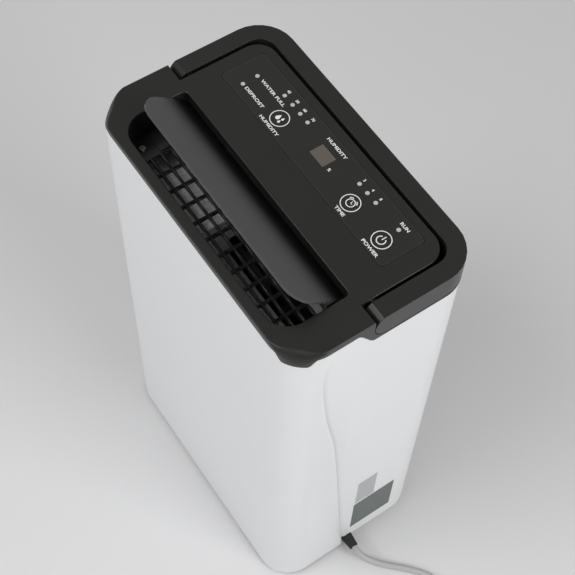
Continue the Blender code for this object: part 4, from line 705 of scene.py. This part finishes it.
def black_top():
    """The solid top, cut below its edge and under the handle, hollowed, then opened for what sits in it."""
    top = cover_body()
    outwards(top.data)
    reach = HALF_W + 0.02
    low = LEDGE_BOTTOM - 0.02
    high = DECK_Z + 0.02
    under = DECK_Z - WALL
    channel = block((-reach, 0.0, LEDGE_TOP), (reach, HALF_D + 0.02, high))
    core = rounded(-DECK_HALF_X, DECK_HALF_X, -HALF_D, DECK_BACK_Y, CORNER_R, 0.019)
    carve(channel, "DIFFERENCE", prism(core, low, high + 0.02))
    notch = [(-NOTCH_R, high)] + arc(0.0, PIVOT_Z, NOTCH_R, 180, 270, 24)
    notch += [(0.001, LEDGE_TOP), (0.001, high)]
    inside = rounded(-HALF_W + WALL, HALF_W - WALL, -HALF_D + WALL, HALF_D, 0.052)
    hollow_front = [(x, y) for x, y in inside if y < -0.03]
    hollow_front += [(HALF_W - WALL, -0.0165), (-HALF_W + WALL, -0.0165)]
    hollow_back = rounded(-DECK_HALF_X + WALL, DECK_HALF_X - WALL, -0.0175, DECK_BACK_Y - WALL, 0.001, 0.016)
    carve(top, "DIFFERENCE", below_black_edge(), channel,
          prism(notch, -reach, -DECK_HALF_X, along="X"), prism(notch, DECK_HALF_X, reach, along="X"))
    carve(top, "DIFFERENCE", prism(hollow_front, low, under), prism(hollow_back, low, under))
    carve(top, "DIFFERENCE",
          prism(rounded(*OPENING, 0.022, 0.004), low, high),
          prism(rounded(*FILM_RECESS, 0.004), DECK_Z - FILM_RECESS_DEPTH, high))
    wells = [cylinder((x, KEY_Y), KEY_WELL_R, DECK_Z - KEY_WELL_DEPTH, high, "Z") for x in KEYS.values()]
    holes = [cylinder((x, KEY_Y), STEM_HOLE_R, low, high, "Z", 20) for x in KEYS.values()]
    posts = lamp_guides(0.0017, low, high)
    window = block((-0.0085, 0.0357, low), (0.0082, 0.0475, high))
    pin_start = DECK_HALF_X - 0.01
    pin_end = DECK_HALF_X + 0.002
    pins = [cylinder((0.0, PIVOT_Z), 0.0041, side * pin_start, side * pin_end, "X", 24) for side in (-1, 1)]
    carve(top, "DIFFERENCE", *wells, *holes, posts, window, *pins)
    clean(top)
    weigh_deck_edges(top)
    rim = soften(top, 0.0009).modifiers["rounded edges"]
    rim.limit_method = "WEIGHT"
    rim.use_clamp_overlap = False
    top.modifiers["even shine"].keep_sharp = True
    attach(top, "housing")
    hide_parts("top_cover")


def lamp_guides(radius, low, high):
    """One guide made of a round post for each lamp."""
    angles = np.linspace(0, 2 * math.pi, 12, endpoint=False)
    points = []
    faces = []
    for x, y in LAMPS:
        start = len(points)
        ring = [(x + radius * math.cos(a), y + radius * math.sin(a)) for a in angles]
        points += [(*p, low) for p in ring] + [(*p, high) for p in ring]
        faces += (quads(2, 12, wrap=True) + start).tolist()
        faces += [list(range(start, start + 12))[::-1], list(range(start + 12, start + 24))]
    guide = piece("guide", points, faces, None)
    outwards(guide.data)
    return guide


def clean(obj):
    """Merges doubles and joins coplanar faces after the Booleans."""
    bm = bmesh.new()
    bm.from_mesh(obj.data)
    bmesh.ops.remove_doubles(bm, verts=bm.verts, dist=2e-6)
    bmesh.ops.dissolve_limit(bm, angle_limit=math.radians(0.5), verts=bm.verts, edges=bm.edges)
    bm.to_mesh(obj.data)
    bm.free()


def weigh_deck_edges(obj, angle=38.0):
    """Marks the deck's edges round its openings for rounding, and every other sharp edge as crisp."""
    bm = bmesh.new()
    bm.from_mesh(obj.data)
    weight = bm.edges.layers.float.new("bevel_weight_edge")
    for edge in bm.edges:
        if len(edge.link_faces) != 2 or edge.calc_face_angle() < math.radians(angle):
            continue
        middle = (edge.verts[0].co + edge.verts[1].co) / 2
        on_deck = all(v.co.z > DECK_Z - 1e-5 for v in edge.verts)
        round_film = abs(middle.x) < 0.118 and 0.017 < middle.y < 0.063
        if on_deck and not round_film:
            edge[weight] = 1.0
        else:
            edge.smooth = False
    bm.to_mesh(obj.data)
    bm.free()


black_top()
refined("carry_handle", "folding_handle", handle_abs, "handle", 0.0014, 4, 22)
refined("outlet_flap", "air_flap", flap_abs, "flap", 0.0005, 2)
refined("water_tank", "tank_box", tank_plastic, "tank", 0.0006, 2)
refined("intake_grille", "rear_grille", white_abs, "intake", 0.0005, 2)
for word in ("humidity", "time", "power"):
    refined(f"{word}_key", f"{word}_key_cap", key_film, f"{word}_button", 0.0003, 2)


# ---- air grille ---------------------------------------------------------------------------------
def air_grille():
    """Plate with six rows of eleven windows; round-topped bars between them, blank left end with a step."""
    low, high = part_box("outlet_grille")
    soft = 0.0006
    rows = 6
    columns = 11
    first_x = low.x + 0.0242
    pitch_x = (high.x - 0.0067 - first_x) / columns
    first_y = low.y + 0.0035
    pitch_y = (high.y - 0.0032 - first_y) / rows
    bar_half = 0.0009
    loops = [rounded(low.x, high.x, low.y, high.y, 0.0215, 0.0035)]
    for row in range(rows):
        y = first_y + row * pitch_y
        for column in range(columns):
            x = first_x + column * pitch_x
            corner = 0.012 if row == 0 and column == columns - 1 else 0.0
            right = x + pitch_x - bar_half - corner
            loops.append(bar(x + bar_half, y + bar_half, right, y + pitch_y - bar_half))
    plate = flat("air_grille", loops, low.z, high.z - low.z, grille_abs, "housing", soft)
    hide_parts("outlet_grille")
    step = rounded(low.x + 0.0035, first_x - 0.001, low.y + 0.024, high.y - 0.001, 0.001, steps=3)
    flat("grille_step", [step], high.z, 0.0012, grille_abs, "housing", 0.0003)


# ---- print on the film and the keys ----------------------------------------------------------------
def flat(name, loops, z, thickness, material, body, soft=0.0):
    """Flat piece standing on height z: outlines (x, y), inner ones as holes, edges rounded by soft."""
    curve = bpy.data.curves.new(name, "CURVE")
    curve.dimensions = "2D"
    curve.fill_mode = "BOTH"
    curve.extrude = thickness / 2 - soft
    curve.bevel_depth = soft
    curve.bevel_resolution = 2
    curve.offset = -soft
    for loop in loops:
        spline = curve.splines.new("POLY")
        spline.points.add(len(loop) - 1)
        corners = np.column_stack([np.asarray(loop, float), np.zeros((len(loop), 2))])
        spline.points.foreach_set("co", corners.ravel())
        spline.use_cyclic_u = True
    obj = bpy.data.objects.new(name, curve)
    bpy.context.scene.collection.objects.link(obj)
    return laid(obj, name, z + thickness / 2, material, body)


def laid(obj, name, z, material, body, x=0.0, y=0.0, stretch=1.0):
    """Makes a flat curve or text a mesh and puts its place into the mesh."""
    bpy.context.view_layer.update()
    mesh = bpy.data.meshes.new_from_object(obj.evaluated_get(bpy.context.evaluated_depsgraph_get()))
    curve = obj.data
    bpy.data.objects.remove(obj)
    bpy.data.curves.remove(curve)
    mesh.name = name
    mesh.transform(Matrix.Translation((x, y, z)) @ Matrix.Diagonal((stretch, 1.0, 1.0, 1.0)))
    mesh.materials.clear()
    mesh.materials.append(material)
    outwards(mesh)
    made = bpy.data.objects.new(name, mesh)
    bpy.context.scene.collection.objects.link(made)
    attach(made, body)
    return made


def ring(cx, cy, outer, inner, steps=48):
    return [arc(cx, cy, radius, 0, 360 - 360 / steps, steps - 1) for radius in (outer, inner)]


def bar(x0, y0, x1, y1):
    return [(x0, y0), (x1, y0), (x1, y1), (x0, y1)]


def drop(cx, cy, size):
    """Water drop: a circle whose top is drawn up to a point."""
    a = np.linspace(0, 2 * math.pi, 28, endpoint=False)
    x = size * 0.62 * np.sin(a) * np.where(np.cos(a) > 0, 1 - 0.55 * np.cos(a), 1.0)
    y = size * np.where(np.cos(a) > 0, 1.25 * np.cos(a), 0.62 * np.cos(a))
    return list(zip(cx + x, cy + y - size * 0.2))


def band(cx, cy, radius, width, start, end, steps=24):
    """Part of a ring from start to end degrees."""
    outside = arc(cx, cy, radius + width / 2, start, end, steps)
    return outside + arc(cx, cy, radius - width / 2, end, start, steps)


def key_mark(word, sign):
    outline = ring(KEYS[f"{word}_key"], KEY_Y, RING_OUTER, RING_INNER)
    flat(f"{word}_mark", outline + sign, PRINT_Z, PRINT_T, white_print, f"{word}_button")


def key_marks():
    """A white ring and a plain sign on each key: three drops, an alarm clock, a power sign."""
    x = KEYS["humidity_key"]
    drops = [drop(x - 0.0018, KEY_Y - 0.0002, 0.0032), drop(x + 0.0024, KEY_Y + 0.0016, 0.0018),
             drop(x + 0.0022, KEY_Y - 0.0024, 0.0018)]
    key_mark("humidity", drops)
    x = KEYS["time_key"]
    hands = [bar(x - 0.0003, KEY_Y, x + 0.0003, KEY_Y + 0.0024),
             bar(x + 0.0005, KEY_Y - 0.0003, x + 0.0020, KEY_Y + 0.0003)]
    bells = [band(x, KEY_Y, 0.0053, 0.0009, 112, 150, 8), band(x, KEY_Y, 0.0053, 0.0009, 30, 68, 8)]
    key_mark("time", ring(x, KEY_Y, 0.0042, 0.0034) + hands + bells)
    x = KEYS["power_key"]
    sign = [band(x, KEY_Y - 0.0004, 0.0038, 0.0009, 125, 415),
            bar(x - 0.00045, KEY_Y + 0.0002, x + 0.00045, KEY_Y + 0.0048)]
    key_mark("power", sign)


def print_text(name, text, x, y, size, span=None):
    """White print on the film, centred on (x, y); span is the width that the word fills."""
    curve = bpy.data.curves.new(name, "FONT")
    curve.body = text
    curve.size = size
    curve.align_x = "CENTER"
    curve.align_y = "CENTER"
    curve.extrude = PRINT_T / 2
    curve.offset = 0.00010
    curve.resolution_u = 3
    obj = bpy.data.objects.new(name, curve)
    bpy.context.scene.collection.objects.link(obj)
    bpy.context.view_layer.update()
    stretch = span / obj.dimensions.x if span else 1.0
    return laid(obj, name, PRINT_Z + PRINT_T / 2, white_print, "housing", x, y, stretch)


def film_marks():
    """Plain function words, the lamps' figures and a thin line round the film."""
    words = (("full_word", "WATER FULL", -0.0925, -0.0590, 0.0435),
             ("defrost_word", "DEFROST", -0.0936, -0.0677, 0.0280),
             ("humidity_word", "HUMIDITY", -0.0625, -0.0369, 0.0217),
             ("display_word", "HUMIDITY", -0.0123, 0.0131, 0.0554),
             ("time_word", "TIME", 0.0457, 0.0574, 0.0216),
             ("power_word", "POWER", 0.0827, 0.1025, 0.0211),
             ("run_word", "RUN", 0.0875, 0.0977, 0.0558))
    for name, text, x0, x1, y in words:
        print_text(name, text, (x0 + x1) / 2, y, 0.0042, x1 - x0)
    print_text("percent_sign", "%", 0.0144, 0.0376, 0.0040)
    figures = (("40", -0.0694), ("50", -0.0570), ("60", -0.0460), ("70", -0.0342),
               ("2", 0.0387), ("4", 0.0502), ("8", 0.0607))
    for index, (text, x) in enumerate(figures, 1):
        print_text(f"lamp_number_{index}", text, x, 0.0556, 0.0036)
    outer = rounded(-0.1166, 0.1116, 0.0184, 0.0616, 0.0038)
    inner = rounded(-0.1163, 0.1113, 0.0187, 0.0613, 0.0035)
    flat("film_line", [outer, inner], PRINT_Z, PRINT_T, line_print, "housing")


def lamp_faces():
    """The milky end of each light guide post, a thin flat disc on the film."""
    for index, (x, y) in enumerate(LAMPS, 1):
        disc = arc(x, y, 0.0019, 0, 350, 35)
        flat(f"lamp_face_{index}", [disc], PRINT_Z, 2 * PRINT_T, guide_plastic, "housing")


air_grille()
key_marks()
film_marks()
lamp_faces()


# ---- floor and light ------------------------------------------------------------------------------
def add_floor():
    floor_material, tree, shader, place = start_material("pale_studio_floor", "DCDCDD", 0.55)
    paper = node(tree, "ShaderNodeTexNoise", [("Vector", place, "Object")], [("Scale", 1.5), ("Detail", 3.0)])
    tone = node(tree, "ShaderNodeMix", [("Factor", paper, "Fac")], data_type="RGBA")
    tone.inputs["A"].default_value = linear("DBDBDC")
    tone.inputs["B"].default_value = linear("DFDFE0")
    tree.links.new(tone.outputs["Result"], shader.inputs["Base Color"])
    half = 4.0
    corners = [(-half, -half, 0), (half, -half, 0), (half, half, 0), (-half, half, 0)]
    floor = piece("studio_floor", corners, [(0, 1, 2, 3)], floor_material)


def area_light(name, place, target, width, height, power):
    data = bpy.data.lights.new(name, "AREA")
    data.shape = "RECTANGLE"
    data.size = width
    data.size_y = height
    data.energy = power
    lamp = bpy.data.objects.new(name, data)
    bpy.context.scene.collection.objects.link(lamp)
    lamp.location = place
    lamp.rotation_euler = (Vector(target) - Vector(place)).to_track_quat("-Z", "Y").to_euler()


def light_room():
    world = bpy.data.worlds.new("studio")
    bpy.context.scene.world = world
    world.use_nodes = True
    world.node_tree.nodes["Background"].inputs["Color"].default_value = (1.0, 1.0, 1.0, 1.0)
    world.node_tree.nodes["Background"].inputs["Strength"].default_value = 0.38
    area_light("window_right", (2.0, 0.5, 1.5), (0, 0, 0.3), 1.2, 1.0, 25)
    area_light("soft_top_front", (-0.4, -1.4, 2.6), (0, 0, 0.4), 1.3, 1.1, 22)
    area_light("front_strip", (0.2, -2.0, 1.6), (0, 0, 0.45), 2.4, 0.25, 11)
    bpy.context.scene.view_settings.view_transform = "Standard"


add_floor()
light_room()
